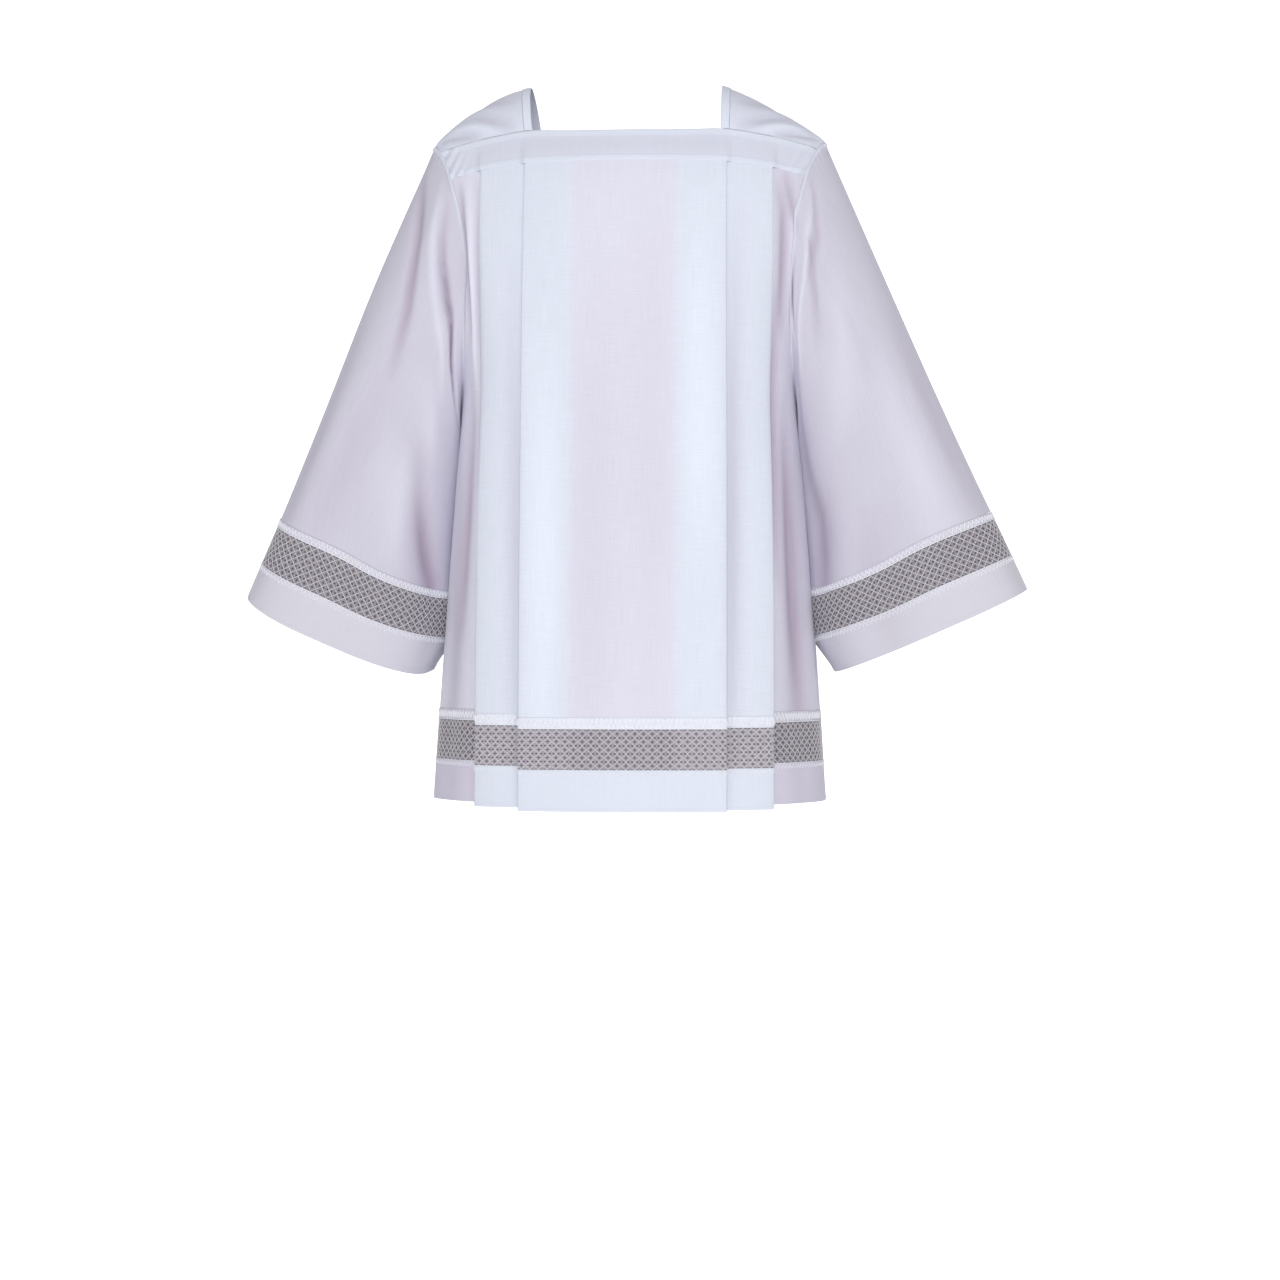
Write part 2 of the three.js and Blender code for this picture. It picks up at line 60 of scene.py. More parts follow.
# Soft creases of the body. Each follows a short path over the cloth, given as lengths across from the
# centre line and down from the shoulder, and swells out or sinks in most at its middle.
BODY_CREASES = {
    "front": [
        {"path": [(-0.216, 0.118), (-0.211, 0.190), (-0.205, 0.330)], "width": 0.0050, "depth": -0.0070},
        {"path": [(-0.203, 0.114), (-0.199, 0.200), (-0.196, 0.420)], "width": 0.0050, "depth": 0.0032},
        {"path": [(-0.190, 0.112), (-0.188, 0.240), (-0.190, 0.520)], "width": 0.0045, "depth": -0.0038},
        {"path": [(-0.206, 0.360), (-0.214, 0.520), (-0.222, 0.700)], "width": 0.0090, "depth": -0.0050},
        {"path": [(0.199, 0.108), (0.210, 0.150), (0.224, 0.200)], "width": 0.0045, "depth": -0.0045},
        {"path": [(0.189, 0.118), (0.200, 0.170), (0.206, 0.330)], "width": 0.0055, "depth": -0.0052},
        {"path": [(0.206, 0.118), (0.212, 0.180), (0.214, 0.270)], "width": 0.0045, "depth": 0.0014},
        {"path": [(0.194, 0.240), (0.193, 0.420), (0.197, 0.640)], "width": 0.0065, "depth": -0.0050},
        {"path": [(0.212, 0.380), (0.222, 0.560), (0.230, 0.760)], "width": 0.0090, "depth": -0.0045},
        {"path": [(0.226, 0.420), (0.232, 0.660), (0.238, 0.960)], "width": 0.0140, "depth": -0.0045},
        {"path": [(-0.232, 0.440), (-0.238, 0.700), (-0.244, 0.960)], "width": 0.0140, "depth": -0.0040},
        {"path": [(0.262, 0.500), (0.270, 0.740), (0.278, 0.980)], "width": 0.0200, "depth": 0.0014},
        {"path": [(-0.268, 0.520), (-0.276, 0.760), (-0.282, 0.980)], "width": 0.0220, "depth": 0.0012},
        {"path": [(0.030, 0.120), (0.034, 0.420), (0.038, 0.860)], "width": 0.0220, "depth": -0.0014},
        {"path": [(-0.026, 0.200), (-0.034, 0.540), (-0.042, 0.920)], "width": 0.0260, "depth": -0.0016},
        {"path": [(0.092, 0.120), (0.090, 0.360), (0.088, 0.640)], "width": 0.0140, "depth": 0.0012},
        {"path": [(-0.088, 0.300), (-0.092, 0.620), (-0.096, 0.930)], "width": 0.0160, "depth": 0.0014},
        {"path": [(-0.140, 0.200), (-0.136, 0.480), (-0.134, 0.880)], "width": 0.0080, "depth": -0.0022},
        {"path": [(0.138, 0.130), (0.134, 0.420), (0.133, 0.900)], "width": 0.0080, "depth": -0.0030},
    ],
    "back": [
        {"path": [(-0.214, 0.118), (-0.209, 0.210), (-0.204, 0.380)], "width": 0.0060, "depth": -0.0060},
        {"path": [(-0.198, 0.110), (-0.196, 0.260), (-0.198, 0.480)], "width": 0.0060, "depth": 0.0030},
        {"path": [(0.200, 0.110), (0.208, 0.200), (0.213, 0.360)], "width": 0.0060, "depth": -0.0060},
        {"path": [(0.189, 0.130), (0.191, 0.300), (0.194, 0.560)], "width": 0.0060, "depth": -0.0040},
        {"path": [(0.214, 0.360), (0.222, 0.560), (0.228, 0.740)], "width": 0.0090, "depth": -0.0045},
        {"path": [(0.228, 0.430), (0.234, 0.700), (0.240, 0.960)], "width": 0.0140, "depth": -0.0050},
        {"path": [(-0.226, 0.470), (-0.232, 0.720), (-0.236, 0.960)], "width": 0.0130, "depth": -0.0050},
        {"path": [(0.266, 0.510), (0.272, 0.760), (0.276, 0.980)], "width": 0.0210, "depth": 0.0035},
        {"path": [(0.022, 0.140), (0.028, 0.480), (0.034, 0.860)], "width": 0.0240, "depth": -0.0015},
        {"path": [(-0.034, 0.220), (-0.030, 0.560), (-0.028, 0.900)], "width": 0.0220, "depth": -0.0014},
        {"path": [(-0.092, 0.160), (-0.090, 0.420), (-0.088, 0.700)], "width": 0.0150, "depth": 0.0013},
        {"path": [(-0.138, 0.160), (-0.135, 0.460), (-0.134, 0.900)], "width": 0.0080, "depth": -0.0026},
        {"path": [(0.139, 0.200), (0.136, 0.500), (0.135, 0.860)], "width": 0.0080, "depth": -0.0022},
    ],
}

ARMHOLE_TOP = -0.071
ARMHOLE_BOTTOM = -0.390
ARMHOLE_HALF_DEPTH = 0.062
ARMHOLE_MIDDLE = (ARMHOLE_TOP + ARMHOLE_BOTTOM) / 2
ARMHOLE_HALF_HEIGHT = (ARMHOLE_TOP - ARMHOLE_BOTTOM) / 2

BAND_HEIGHT = 0.0395
NECK_EDGE = {"front": -0.0665, "back": -0.056}
NECK_HALF_WIDTH = 0.116
NECK_CORNER_LIFT = 0.0025
NECK_CORNER_SPREAD = 0.026
DROOP = {"front": 0.97, "back": 1.9}
DROOP_FROM = 0.110
PLEAT_EDGES = (0.122, 0.181)
PLEAT_DEPTH = 0.060
PLEAT_PITCH_TOP = 0.0016
PLEAT_PITCH_HEM = 0.0027

CLOTH_THICKNESS = 0.0006
NARROWEST_CUT = 0.0102
BAND_THICKNESS = 0.0012
BAND_EDGE_WIDTH = 0.007
BAND_EDGE_RISE = 0.0006
SEAM_GAP = 0.0003
COTTON_SINGLE = (0.728, 0.728, 0.830)
COTTON_PLIED = (0.718, 0.762, 0.860)
# Painted shade: the pinkish grey that creases are darkened towards, and the crease depth at which it is full.
PAINTED_TROUGH_SHADE = (0.66, 0.58, 0.64)
FULL_SHADE_CREASE_DEPTH = 0.0075


def ease(low, high, value):
    t = np.clip((value - low) / (high - low), 0.0, 1.0)
    return t * t * (3 - 2 * t)


def swell(start, end, at):
    """Nothing outside start and end, and a smooth rise to one midway between them."""
    t = np.clip((at - start) / (end - start), 0.0, 1.0)
    return np.sin(np.pi * t) ** 2


def smooth_column(rows, key, column):
    """The smooth line through one column of a table, read at any value of its key."""
    at = np.array([row[key] for row in rows])
    value = np.array([row[column] for row in rows])
    slope = np.gradient(value, at, edge_order=1)
    slope[1:-1] = (value[2:] - value[:-2]) / (at[2:] - at[:-2])

    def read(x):
        x = np.clip(x, at[0], at[-1])
        i = np.clip(np.searchsorted(at, x, side="right") - 1, 0, len(at) - 2)
        span = at[i + 1] - at[i]
        t = (x - at[i]) / span
        low = value[i] * (1 + 2 * t) * (1 - t) ** 2 + slope[i] * span * t * (1 - t) ** 2
        high = value[i + 1] * t * t * (3 - 2 * t) - slope[i + 1] * span * t * t * (1 - t)
        return low + high

    return read


HALF_WIDTH = smooth_column(TORSO, "z", "half_width")
DEPTH = {face: smooth_column(TORSO, "z", face) for face in FACING}


def oval_at(face, z):
    half, depth = HALF_WIDTH(z), DEPTH[face](z)
    side = (2 * FACE_RADIUS * depth - half**2 - depth**2) / (2 * (FACE_RADIUS - half))
    turn = np.arcsin((half - side) / (FACE_RADIUS - side))
    return half, depth, side, turn


def crease_lift(creases, along, down):
    """How far a set of creases lifts the cloth at places on it: a soft ridge or trough down each path."""
    lift = np.zeros(np.broadcast(along, down).shape)
    for crease in creases:
        path = np.array(crease["path"])
        legs = np.linalg.norm(np.diff(path, axis=0), axis=1)
        nearest = np.full(lift.shape, np.inf)
        share = np.zeros(lift.shape)
        for start, leg, run, before in zip(path, np.diff(path, axis=0), legs, np.cumsum(legs) - legs):
            t = np.clip(((along - start[0]) * leg[0] + (down - start[1]) * leg[1]) / run**2, 0, 1)
            away = np.hypot(along - start[0] - leg[0] * t, down - start[1] - leg[1] * t)
            share = np.where(away < nearest, (before + run * t) / legs.sum(), share)
            nearest = np.minimum(nearest, away)
        lift += crease["depth"] * np.exp(-((nearest / crease["width"]) ** 2) / 2) * np.sin(np.pi * share)
    return lift


def on_torso(face, z, across, out):
    """The points at a height, a length across from the centre line and a distance out of the form."""
    z, across, out = np.broadcast_arrays(z, across, out)
    half, depth, side, turn = oval_at(face, z)
    past = np.abs(across) - FACE_RADIUS * turn
    angle = np.where(past <= 0, np.abs(across) / FACE_RADIUS, turn + past / side)
    radius = np.where(past <= 0, FACE_RADIUS, side)
    lift = out + crease_lift(BODY_CREASES[face], across, -z)
    x = np.where(past <= 0, 0.0, half - side) + (radius + lift) * np.sin(angle)
    y = np.where(past <= 0, depth - FACE_RADIUS, 0.0) + (radius + lift) * np.cos(angle)
    return np.stack([np.where(across < 0, -x, x), FACING[face] * y, z + 0.0], axis=-1)


def reach(face, z):
    """The length across from the centre line to the armhole or, below it, to the side seam."""
    _, depth, side, turn = oval_at(face, z)
    share = np.clip((z - ARMHOLE_MIDDLE) / ARMHOLE_HALF_HEIGHT, -1.0, 1.0)
    hole = ARMHOLE_HALF_DEPTH * np.sqrt(1 - share**2)
    round_the_side = FACE_RADIUS * turn + (np.arccos(np.clip(hole / side, -1, 1)) - turn) * side
    on_the_face = np.arccos(np.clip((hole + FACE_RADIUS - depth) / FACE_RADIUS, -1, 1)) * FACE_RADIUS
    return np.where(hole < side * np.cos(turn), round_the_side, on_the_face)


def reach_along(face, height_at):
    length = reach(face, height_at(0.0))
    for _ in range(30):
        length = (length + reach(face, height_at(length))) / 2
    return float(length)


def droop(face, across):
    return DROOP[face] * np.maximum(0.0, np.abs(across) - DROOP_FROM) ** 2


def band_line(face, share, across):
    """A level line along the band: share 0 is its top edge, which rises at the corners of the neck."""
    corner = np.exp(-(((np.abs(across) - NECK_HALF_WIDTH) / NECK_CORNER_SPREAD) ** 2) / 2)
    fall = share * BAND_HEIGHT + droop(face, across)
    return NECK_EDGE[face] - fall + (1 - share) * NECK_CORNER_LIFT * corner


def yoke_reach(face, share):
    return reach_along(face, lambda across: band_line(face, share, across))


def pleat_pitch(z):
    share = np.clip((-z - BAND_HEIGHT) / 0.860, 0.0, 1.0)
    return PLEAT_PITCH_TOP + (PLEAT_PITCH_HEM - PLEAT_PITCH_TOP) * share


def stack_height(across):
    """How far the pleats hold the band out over them."""
    steps = [1 - ease(edge + 0.001, edge + 0.009, np.abs(across)) for edge in PLEAT_EDGES]
    return 2 * PLEAT_PITCH_TOP * sum(steps)


def surface_normals(points, closed):
    """Normals of a grid of points, from the lines along its rows and down its columns."""
    wide = np.concatenate([points[:, -1:], points, points[:, :1]], axis=1) if closed else points
    along = np.gradient(wide, axis=1)
    along = along[:, 1:-1] if closed else along
    normal = np.cross(along, np.gradient(points, axis=0))
    return normal / np.linalg.norm(normal, axis=-1, keepdims=True)


def cloth_shell(name, outer, inner, closed=False, tint=None, lift=None):
    """A thin closed wall between two grids of points, with a flat map in metres along and down the cloth."""
    rows, columns = outer.shape[:2]
    count = rows * columns
    i, j = np.meshgrid(np.arange(rows - 1), np.arange(columns if closed else columns - 1), indexing="ij")
    i, j = i.ravel(), j.ravel()
    k = (j + 1) % columns
    corners = np.stack([i * columns + j, i * columns + k, (i + 1) * columns + k, (i + 1) * columns + j], 1)
    spots = np.stack(
        [np.stack([i + down, j + along], 1) for down, along in ((0, 0), (0, 1), (1, 1), (1, 0))], 1
    )
    faces, places = [corners, (corners + count)[:, ::-1]], [spots, spots[:, ::-1]]

    def rim(line, line_spots):
        a, b = line[:-1], line[1:]
        sa, sb = line_spots[:-1], line_spots[1:]
        faces.append(np.stack([a, a + count, b + count, b], 1))
        places.append(np.stack([sa, sa, sb, sb], 1))

    across = np.arange(columns + 1) if closed else np.arange(columns)
    rim(across % columns, np.stack([0 * across, across], 1))
    rim(((rows - 1) * columns + across % columns)[::-1], np.stack([0 * across + rows - 1, across], 1)[::-1])
    if not closed:
        down = np.arange(rows)
        rim((down * columns)[::-1], np.stack([down, 0 * down], 1)[::-1])
        rim(down * columns + columns - 1, np.stack([down, 0 * down + columns - 1], 1))
    faces, places = np.concatenate(faces), np.concatenate(places)

    middle = (outer + inner) / 2
    ring = np.concatenate([middle, middle[:, :1]], axis=1) if closed else middle
    along = np.linalg.norm(np.diff(ring, axis=1), axis=-1)
    down_cloth = np.linalg.norm(np.diff(ring, axis=0), axis=-1)
    u = np.concatenate([np.zeros((rows, 1)), np.cumsum(along, axis=1)], axis=1)
    u = u - u[:, -1:] / 2
    v = -np.concatenate([np.zeros((1, ring.shape[1])), np.cumsum(down_cloth, axis=0)], axis=0)
    points = np.concatenate([outer.reshape(-1, 3), inner.reshape(-1, 3)])
    ends = points[faces]
    if np.einsum("ij,ij->", ends[:, 0], np.cross(ends[:, 1], ends[:, 2])) < 0:
        faces, places = faces[:, ::-1], places[:, ::-1]

    mesh = bpy.data.meshes.new(name)
    mesh.from_pydata(points.tolist(), [], faces.tolist())
    flat_map = mesh.uv_layers.new(name="cloth")
    spot_u = u[places[..., 0], places[..., 1]]
    spot_v = v[places[..., 0], places[..., 1]]
    flat_map.data.foreach_set("uv", np.stack([spot_u, spot_v], -1).astype(np.float32).ravel())
    # Painted shade and highlight: crease depth becomes a colour attribute, full shade at the given depth and
    # a little painted highlight on ridges.
    painted_crease_shading = np.zeros((rows, columns)) if lift is None else np.clip(-lift / FULL_SHADE_CREASE_DEPTH, -0.4, 1.0)
    plies = np.zeros((rows, columns)) if tint is None else tint
    for kind, values in (("plies", plies), ("painted_crease_shading", painted_crease_shading)):
        attribute = mesh.attributes.new(kind, "FLOAT", "POINT")
        attribute.data.foreach_set("value", np.tile(values.ravel(), 2).astype(np.float32))
    mesh.polygons.foreach_set("use_smooth", np.ones(len(faces), dtype=bool))
    mesh.set_sharp_from_angle(angle=math.radians(50))
    piece = bpy.data.objects.new(name, mesh)
    scene.collection.objects.link(piece)
    width = max(NARROWEST_CUT, float(along.sum(axis=1).max()))
    length = max(NARROWEST_CUT, float(down_cloth.sum(axis=0).max()))
    return piece, (width, length), min(float(cloth_area(ring)), width * length)


def cloth_area(grid):
    a, b, c, d = grid[:-1, :-1], grid[:-1, 1:], grid[1:, 1:], grid[1:, :-1]
    halves = np.cross(c - a, d - b)
    return np.linalg.norm(halves, axis=-1).sum() / 2


def place(tree, kind, links, **settings):
    """Adds a node, sets it, and joins or fills its inputs."""
    made = tree.nodes.new(kind)
    for setting, value in settings.items():
        setattr(made, setting, value)
    for socket, value in links.items():
        if isinstance(value, bpy.types.NodeSocket):
            tree.links.new(value, made.inputs[socket])
        else:
            made.inputs[socket].default_value = value
    return made


def node_group(name, kind, inputs, outputs):
    group = bpy.data.node_groups.new(name, kind)
    for socket, (socket_type, default) in inputs.items():
        made = group.interface.new_socket(socket, in_out="INPUT", socket_type=socket_type)
        if default is not None:
            made.default_value = default
    for socket, socket_type in outputs.items():
        group.interface.new_socket(socket, in_out="OUTPUT", socket_type=socket_type)
    return group, group.nodes.new("NodeGroupInput").outputs, group.nodes.new("NodeGroupOutput").inputs


def make_woven_thread():
    """Plain weave with uneven thick threads both ways, and slow patches of lighter and closer cloth."""
    tree, given, result = node_group(
        "woven_thread",
        "ShaderNodeTree",
        {
            "Cloth": ("NodeSocketVector", None),
            "Thread Pitch": ("NodeSocketFloat", 0.00045),
            "Slub Contrast": ("NodeSocketFloat", 0.05),
            "Patch Contrast": ("NodeSocketFloat", 0.03),
        },
        {"Tone": "NodeSocketFloat", "Height": "NodeSocketFloat"},
    )

    def maths(operation, a, b=0.0):
        return place(tree, "ShaderNodeMath", {0: a, 1: b}, operation=operation).outputs[0]

    turns = maths("DIVIDE", 2 * math.pi, given["Thread Pitch"])
    split = place(tree, "ShaderNodeSeparateXYZ", {0: given["Cloth"]}).outputs
    warp = maths("SINE", maths("MULTIPLY", split["X"], turns))
    weft = maths("SINE", maths("MULTIPLY", split["Y"], turns))
    weave = maths("MULTIPLY", warp, weft)

    def streaks(stretch, detail):
        laid = place(tree, "ShaderNodeVectorMath", {0: given["Cloth"], 1: stretch}, operation="MULTIPLY")
        noise = place(tree, "ShaderNodeTexNoise", {"Vector": laid.outputs[0], "Scale": 1.0, "Detail": detail})
        return maths("SUBTRACT", noise.outputs["Fac"], 0.5)

    slubs = maths("ADD", streaks((38.0, 900.0, 1.0), 2.0), streaks((760.0, 22.0, 1.0), 2.0))
    patches = streaks((11.0, 7.0, 1.0), 3.0)
    tone = maths(
        "ADD",
        maths("MULTIPLY", slubs, given["Slub Contrast"]),
        maths("MULTIPLY", patches, given["Patch Contrast"]),
    )
    tree.links.new(maths("ADD", tone, 1.0), result["Tone"])
    height = maths("ADD", maths("MULTIPLY", weave, 0.5), maths("MULTIPLY", slubs, 1.6))
    tree.links.new(height, result["Height"])
    return tree


WOVEN_THREAD = make_woven_thread()


def cotton(name, single, plied, pitch=0.00045, slubs=0.10, patches=0.05, rough=0.82):
    """Matt plain-weave cotton: whiter where it lies three deep, with painted shade sunk into its creases and
    a painted highlight along their ridges.
    """
    material = bpy.data.materials.new(name)
    material.use_nodes = True
    tree = material.node_tree
    shader = tree.nodes["Principled BSDF"]
    cloth = place(tree, "ShaderNodeUVMap", {}, uv_map="cloth").outputs[0]
    plies = place(tree, "ShaderNodeAttribute", {}, attribute_name="plies").outputs["Fac"]
    weave = place(
        tree,
        "ShaderNodeGroup",
        {"Cloth": cloth, "Thread Pitch": pitch, "Slub Contrast": slubs, "Patch Contrast": patches},
        node_tree=WOVEN_THREAD,
    ).outputs
    # Painted crease shading: darkens and pinks the cloth in its creases and lightens it on their ridges.
    painted_crease_shading = place(tree, "ShaderNodeAttribute", {}, attribute_name="painted_crease_shading").outputs["Fac"]
    body = mix_colours(tree, plies, single, plied)
    shade = mix_colours(tree, painted_crease_shading, (1.0, 1.0, 1.0), PAINTED_TROUGH_SHADE)
    shaded = place(tree, "ShaderNodeVectorMath", {0: body, 1: shade}, operation="MULTIPLY").outputs[0]
    toned = place(
        tree, "ShaderNodeVectorMath", {0: shaded, "Scale": weave["Tone"]}, operation="SCALE"
    ).outputs[0]
    tree.links.new(toned, shader.inputs["Base Color"])
    rougher = place(tree, "ShaderNodeMath", {0: weave["Tone"], 1: rough}, operation="MULTIPLY").outputs[0]
    tree.links.new(rougher, shader.inputs["Roughness"])
    bump = place(
        tree, "ShaderNodeBump", {"Strength": 0.25, "Distance": 0.0002, "Height": weave["Height"]}
    ).outputs[0]
    tree.links.new(bump, shader.inputs["Normal"])
    shader.inputs["Sheen Weight"].default_value = 0.12
    shader.inputs["Sheen Roughness"].default_value = 0.5
    shader.inputs["Specular IOR Level"].default_value = 0.25
    return material


def mix_colours(tree, share, low, high):
    mixed = tree.nodes.new("ShaderNodeMix")
    mixed.data_type = "RGBA"
    mixed.clamp_factor = False
    colours = [socket for socket in mixed.inputs if socket.type == "RGBA"]
    for socket, value in zip(colours, (low, high)):
        if isinstance(value, bpy.types.NodeSocket):
            tree.links.new(value, socket)
        else:
            socket.default_value = (*value, 1)
    tree.links.new(share, mixed.inputs[0])
    return next(socket for socket in mixed.outputs if socket.type == "RGBA")


def hang(piece, node, material):
    """Finishes a piece of cloth: its material and its place in the frame, and hides the part that it stands
    for.
    """
    piece.data.materials.append(material)
    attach(piece, "root")
    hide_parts(node)


def make_thread_run():
    """Round thread laid along every line of a mesh that holds only lines."""
    tree, given, result = node_group(
        "thread_run",
        "GeometryNodeTree",
        {
            "Geometry": ("NodeSocketGeometry", None),
            "Thread Radius": ("NodeSocketFloat", 0.0003),
            "Sides": ("NodeSocketInt", 4),
            "Material": ("NodeSocketMaterial", None),
        },
        {"Geometry": "NodeSocketGeometry"},
    )
    line = place(tree, "GeometryNodeMeshToCurve", {"Mesh": given["Geometry"]}).outputs[0]
    section = place(
        tree,
        "GeometryNodeCurvePrimitiveCircle",
        {"Resolution": given["Sides"], "Radius": given["Thread Radius"]},
    ).outputs["Curve"]
    tube = place(
        tree, "GeometryNodeCurveToMesh", {"Curve": line, "Profile Curve": section, "Fill Caps": True}
    )
    real = place(tree, "GeometryNodeRealizeInstances", {"Geometry": tube.outputs[0]}).outputs[0]
    dyed = place(
        tree, "GeometryNodeSetMaterial", {"Geometry": real, "Material": given["Material"]}
    ).outputs[0]
    tree.links.new(dyed, result["Geometry"])
    return tree


def make_stitch_run():
    """Short straight stitches, evenly spaced along every line of a mesh that holds only lines."""
    tree, given, result = node_group(
        "stitch_run",
        "GeometryNodeTree",
        {
            "Geometry": ("NodeSocketGeometry", None),
            "Stitch Pitch": ("NodeSocketFloat", 0.003),
            "Stitch Length": ("NodeSocketFloat", 0.0024),
            "Thread Radius": ("NodeSocketFloat", 0.00022),
            "Material": ("NodeSocketMaterial", None),
        },
        {"Geometry": "NodeSocketGeometry"},
    )
    line = place(tree, "GeometryNodeMeshToCurve", {"Mesh": given["Geometry"]}).outputs[0]
    spots = place(
        tree, "GeometryNodeCurveToPoints", {"Curve": line, "Length": given["Stitch Pitch"]}, mode="LENGTH"
    )
    stitch = place(
        tree,
        "GeometryNodeMeshCylinder",
        {"Vertices": 5, "Radius": given["Thread Radius"], "Depth": given["Stitch Length"]},
    ).outputs["Mesh"]
    sewn = place(
        tree,
        "GeometryNodeInstanceOnPoints",
        {"Points": spots.outputs["Points"], "Instance": stitch, "Rotation": spots.outputs["Rotation"]},
    ).outputs[0]
    real = place(tree, "GeometryNodeRealizeInstances", {"Geometry": sewn}).outputs[0]
    dyed = place(
        tree, "GeometryNodeSetMaterial", {"Geometry": real, "Material": given["Material"]}
    ).outputs[0]
    tree.links.new(dyed, result["Geometry"])
    return tree


THREAD_RUN = make_thread_run()
STITCH_RUN = make_stitch_run()


def sew(name, lines, tree, slot, **sizes):
    """Runs a thread or a row of stitches along lines of points, and keeps the result as a plain mesh."""
    points = np.concatenate(lines)
    starts = np.cumsum([0] + [len(line) for line in lines[:-1]])
    edges = np.concatenate([start + np.stack([np.arange(len(line) - 1), np.arange(1, len(line))], 1)
                            for start, line in zip(starts, lines)])
    mesh = bpy.data.meshes.new(name)
    mesh.from_pydata(points.tolist(), edges.tolist(), [])
    piece = bpy.data.objects.new(name, mesh)
    scene.collection.objects.link(piece)
    modifier = piece.modifiers.new(name, "NODES")
    modifier.node_group = tree
    identifiers = {item.name: item.identifier for item in tree.interface.items_tree if item.in_out == "INPUT"}
    for size, value in sizes.items():
        modifier[identifiers[size.replace("_", " ").title()]] = value
    made = bpy.data.meshes.new_from_object(piece.evaluated_get(bpy.context.evaluated_depsgraph_get()))
    piece.modifiers.remove(modifier)
    piece.data = made
    made.name = name
    made.polygons.foreach_set("use_smooth", np.ones(len(made.polygons), dtype=bool))
    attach(piece, "root")
    return piece


def thread_material(name, colour):
    """Twisted cotton thread, a little fuzzy."""
    material = bpy.data.materials.new(name)
    material.use_nodes = True
    tree = material.node_tree
    shader = tree.nodes["Principled BSDF"]
    spot = place(tree, "ShaderNodeTexCoord", {}).outputs["Object"]
    fuzz = place(tree, "ShaderNodeTexNoise", {"Vector": spot, "Scale": 900.0, "Detail": 2.0}).outputs["Fac"]
    darker = tuple(0.86 * part for part in colour)
    tree.links.new(mix_colours(tree, fuzz, darker, colour), shader.inputs["Base Color"])
    rough = place(tree, "ShaderNodeMapRange", {"Value": fuzz, "To Min": 0.6, "To Max": 0.9}).outputs[0]
    tree.links.new(rough, shader.inputs["Roughness"])
    bump = place(tree, "ShaderNodeBump", {"Strength": 0.4, "Distance": 0.0001, "Height": fuzz}).outputs[0]
    tree.links.new(bump, shader.inputs["Normal"])
    shader.inputs["Sheen Weight"].default_value = 0.2
    return material


SEWING_THREAD = thread_material("sewing_thread", (0.80, 0.82, 0.90))
BAND_COTTON = cotton("band_cotton", (0.680, 0.702, 0.805), COTTON_PLIED, slubs=0.07)
STITCH_INSET = 0.0058

for face in FACING:
    share = np.linspace(0, 1.03, 35)
    side_share = np.linspace(-1, 1, 161)
    heights, acrosses, bases, tops, plies = [], [], [], [], []
    for down_share in share:
        end = yoke_reach(face, down_share) - SEAM_GAP / 2
        across = side_share * end
        to_edge = BAND_HEIGHT * min(down_share, share[-1] - down_share)
        proud = 1 - ease(BAND_EDGE_WIDTH - 0.001, BAND_EDGE_WIDTH + 0.0006, to_edge)
        rolled = 0.0007 * (1 - ease(0.0, 0.0012, to_edge))
        near_seam = ease(end - 0.040, end - 0.004, np.abs(across))
        ripple = 330 * across + 260 * down_share * BAND_HEIGHT + 2 * np.sin(90 * across)
        pucker = 0.0011 * near_seam * np.sin(ripple)
        base = stack_height(across) * ease(0, 0.9, down_share) + 0.0002
        heights.append(band_line(face, down_share, across))
        acrosses.append(across)
        bases.append(base + pucker)
        tops.append(base + pucker + BAND_THICKNESS + BAND_EDGE_RISE * proud * (1 - 0.6 * near_seam) - rolled)
        plies.append(np.full(across.shape, 0.15 + 0.85 * proud))
    heights, acrosses, bases, tops = (np.array(rows) for rows in (heights, acrosses, bases, tops))
    outer = on_torso(face, heights, acrosses, tops)
    inner = on_torso(face, heights, acrosses, bases)
    band, flat, area = cloth_shell(f"{face}_yoke_band_cloth", outer, inner, tint=np.array(plies))
    stitch_lines = []
    for stitch_share in (STITCH_INSET / BAND_HEIGHT, share[-1] - STITCH_INSET / BAND_HEIGHT):
        row = np.argmin(abs(share - stitch_share))
        stitch_lines.append(on_torso(face, heights[row], acrosses[row], tops[row] + 0.0001))
    stitches = sew(f"{face}_yoke_band_stitching", stitch_lines, STITCH_RUN, "plain_cloth",
                   stitch_pitch=0.003, stitch_length=0.0024, thread_radius=0.00022, material=SEWING_THREAD)
    hang(band, f"{face}_yoke_band", BAND_COTTON)


# The neck tapes. Each is a narrow strip of the same cotton, folded double and stitched along the side of
# the square neck, over the shoulder from the front band to the back band.

NECK_BOW = {"left": 0.0, "right": 0.006}
NECK_TAPE_WIDTH = 0.0105
NECK_TAPE_RISE = 0.0008
SHOULDER_APEX = {"y": 0.004, "z": 0.0}
SHOULDER_ROUND = {"left": 0.001, "right": 0.008}
SHOULDER_WIDTH = 0.128
YOKE_SEAM_GAP = 0.0006
SIDES = {"left": 1, "right": -1}


YOKE_REACH = {face: yoke_reach(face, 0.0) for face in FACING}


def band_top_point(name, face, share):
    start = FACE_RADIUS * math.asin(NECK_HALF_WIDTH / FACE_RADIUS)
    across = start + (YOKE_REACH[face] - start) * share
    point = on_torso(face, band_line(face, 0.0, across), SIDES[name] * across, 0.0)
    return point * (SIDES[name], 1, 1)


def neck_side_point(name, over):
    """The side of the neck: share 0 is at the front band, 1 at the back band."""
    front, back = band_top_point(name, "front", 0.0), band_top_point(name, "back", 0.0)
    turn = np.pi * over
    middle = front[2] + (back[2] - front[2]) * over
    end_y = np.where(over < 0.5, front[1], back[1])
    y = SHOULDER_APEX["y"] + (end_y - SHOULDER_APEX["y"]) * np.abs(np.cos(turn))
    z = middle + (SHOULDER_APEX["z"] - middle) * np.sin(turn)
    return np.stack([NECK_HALF_WIDTH + NECK_BOW[name] * np.sin(turn), y, z], axis=-1)


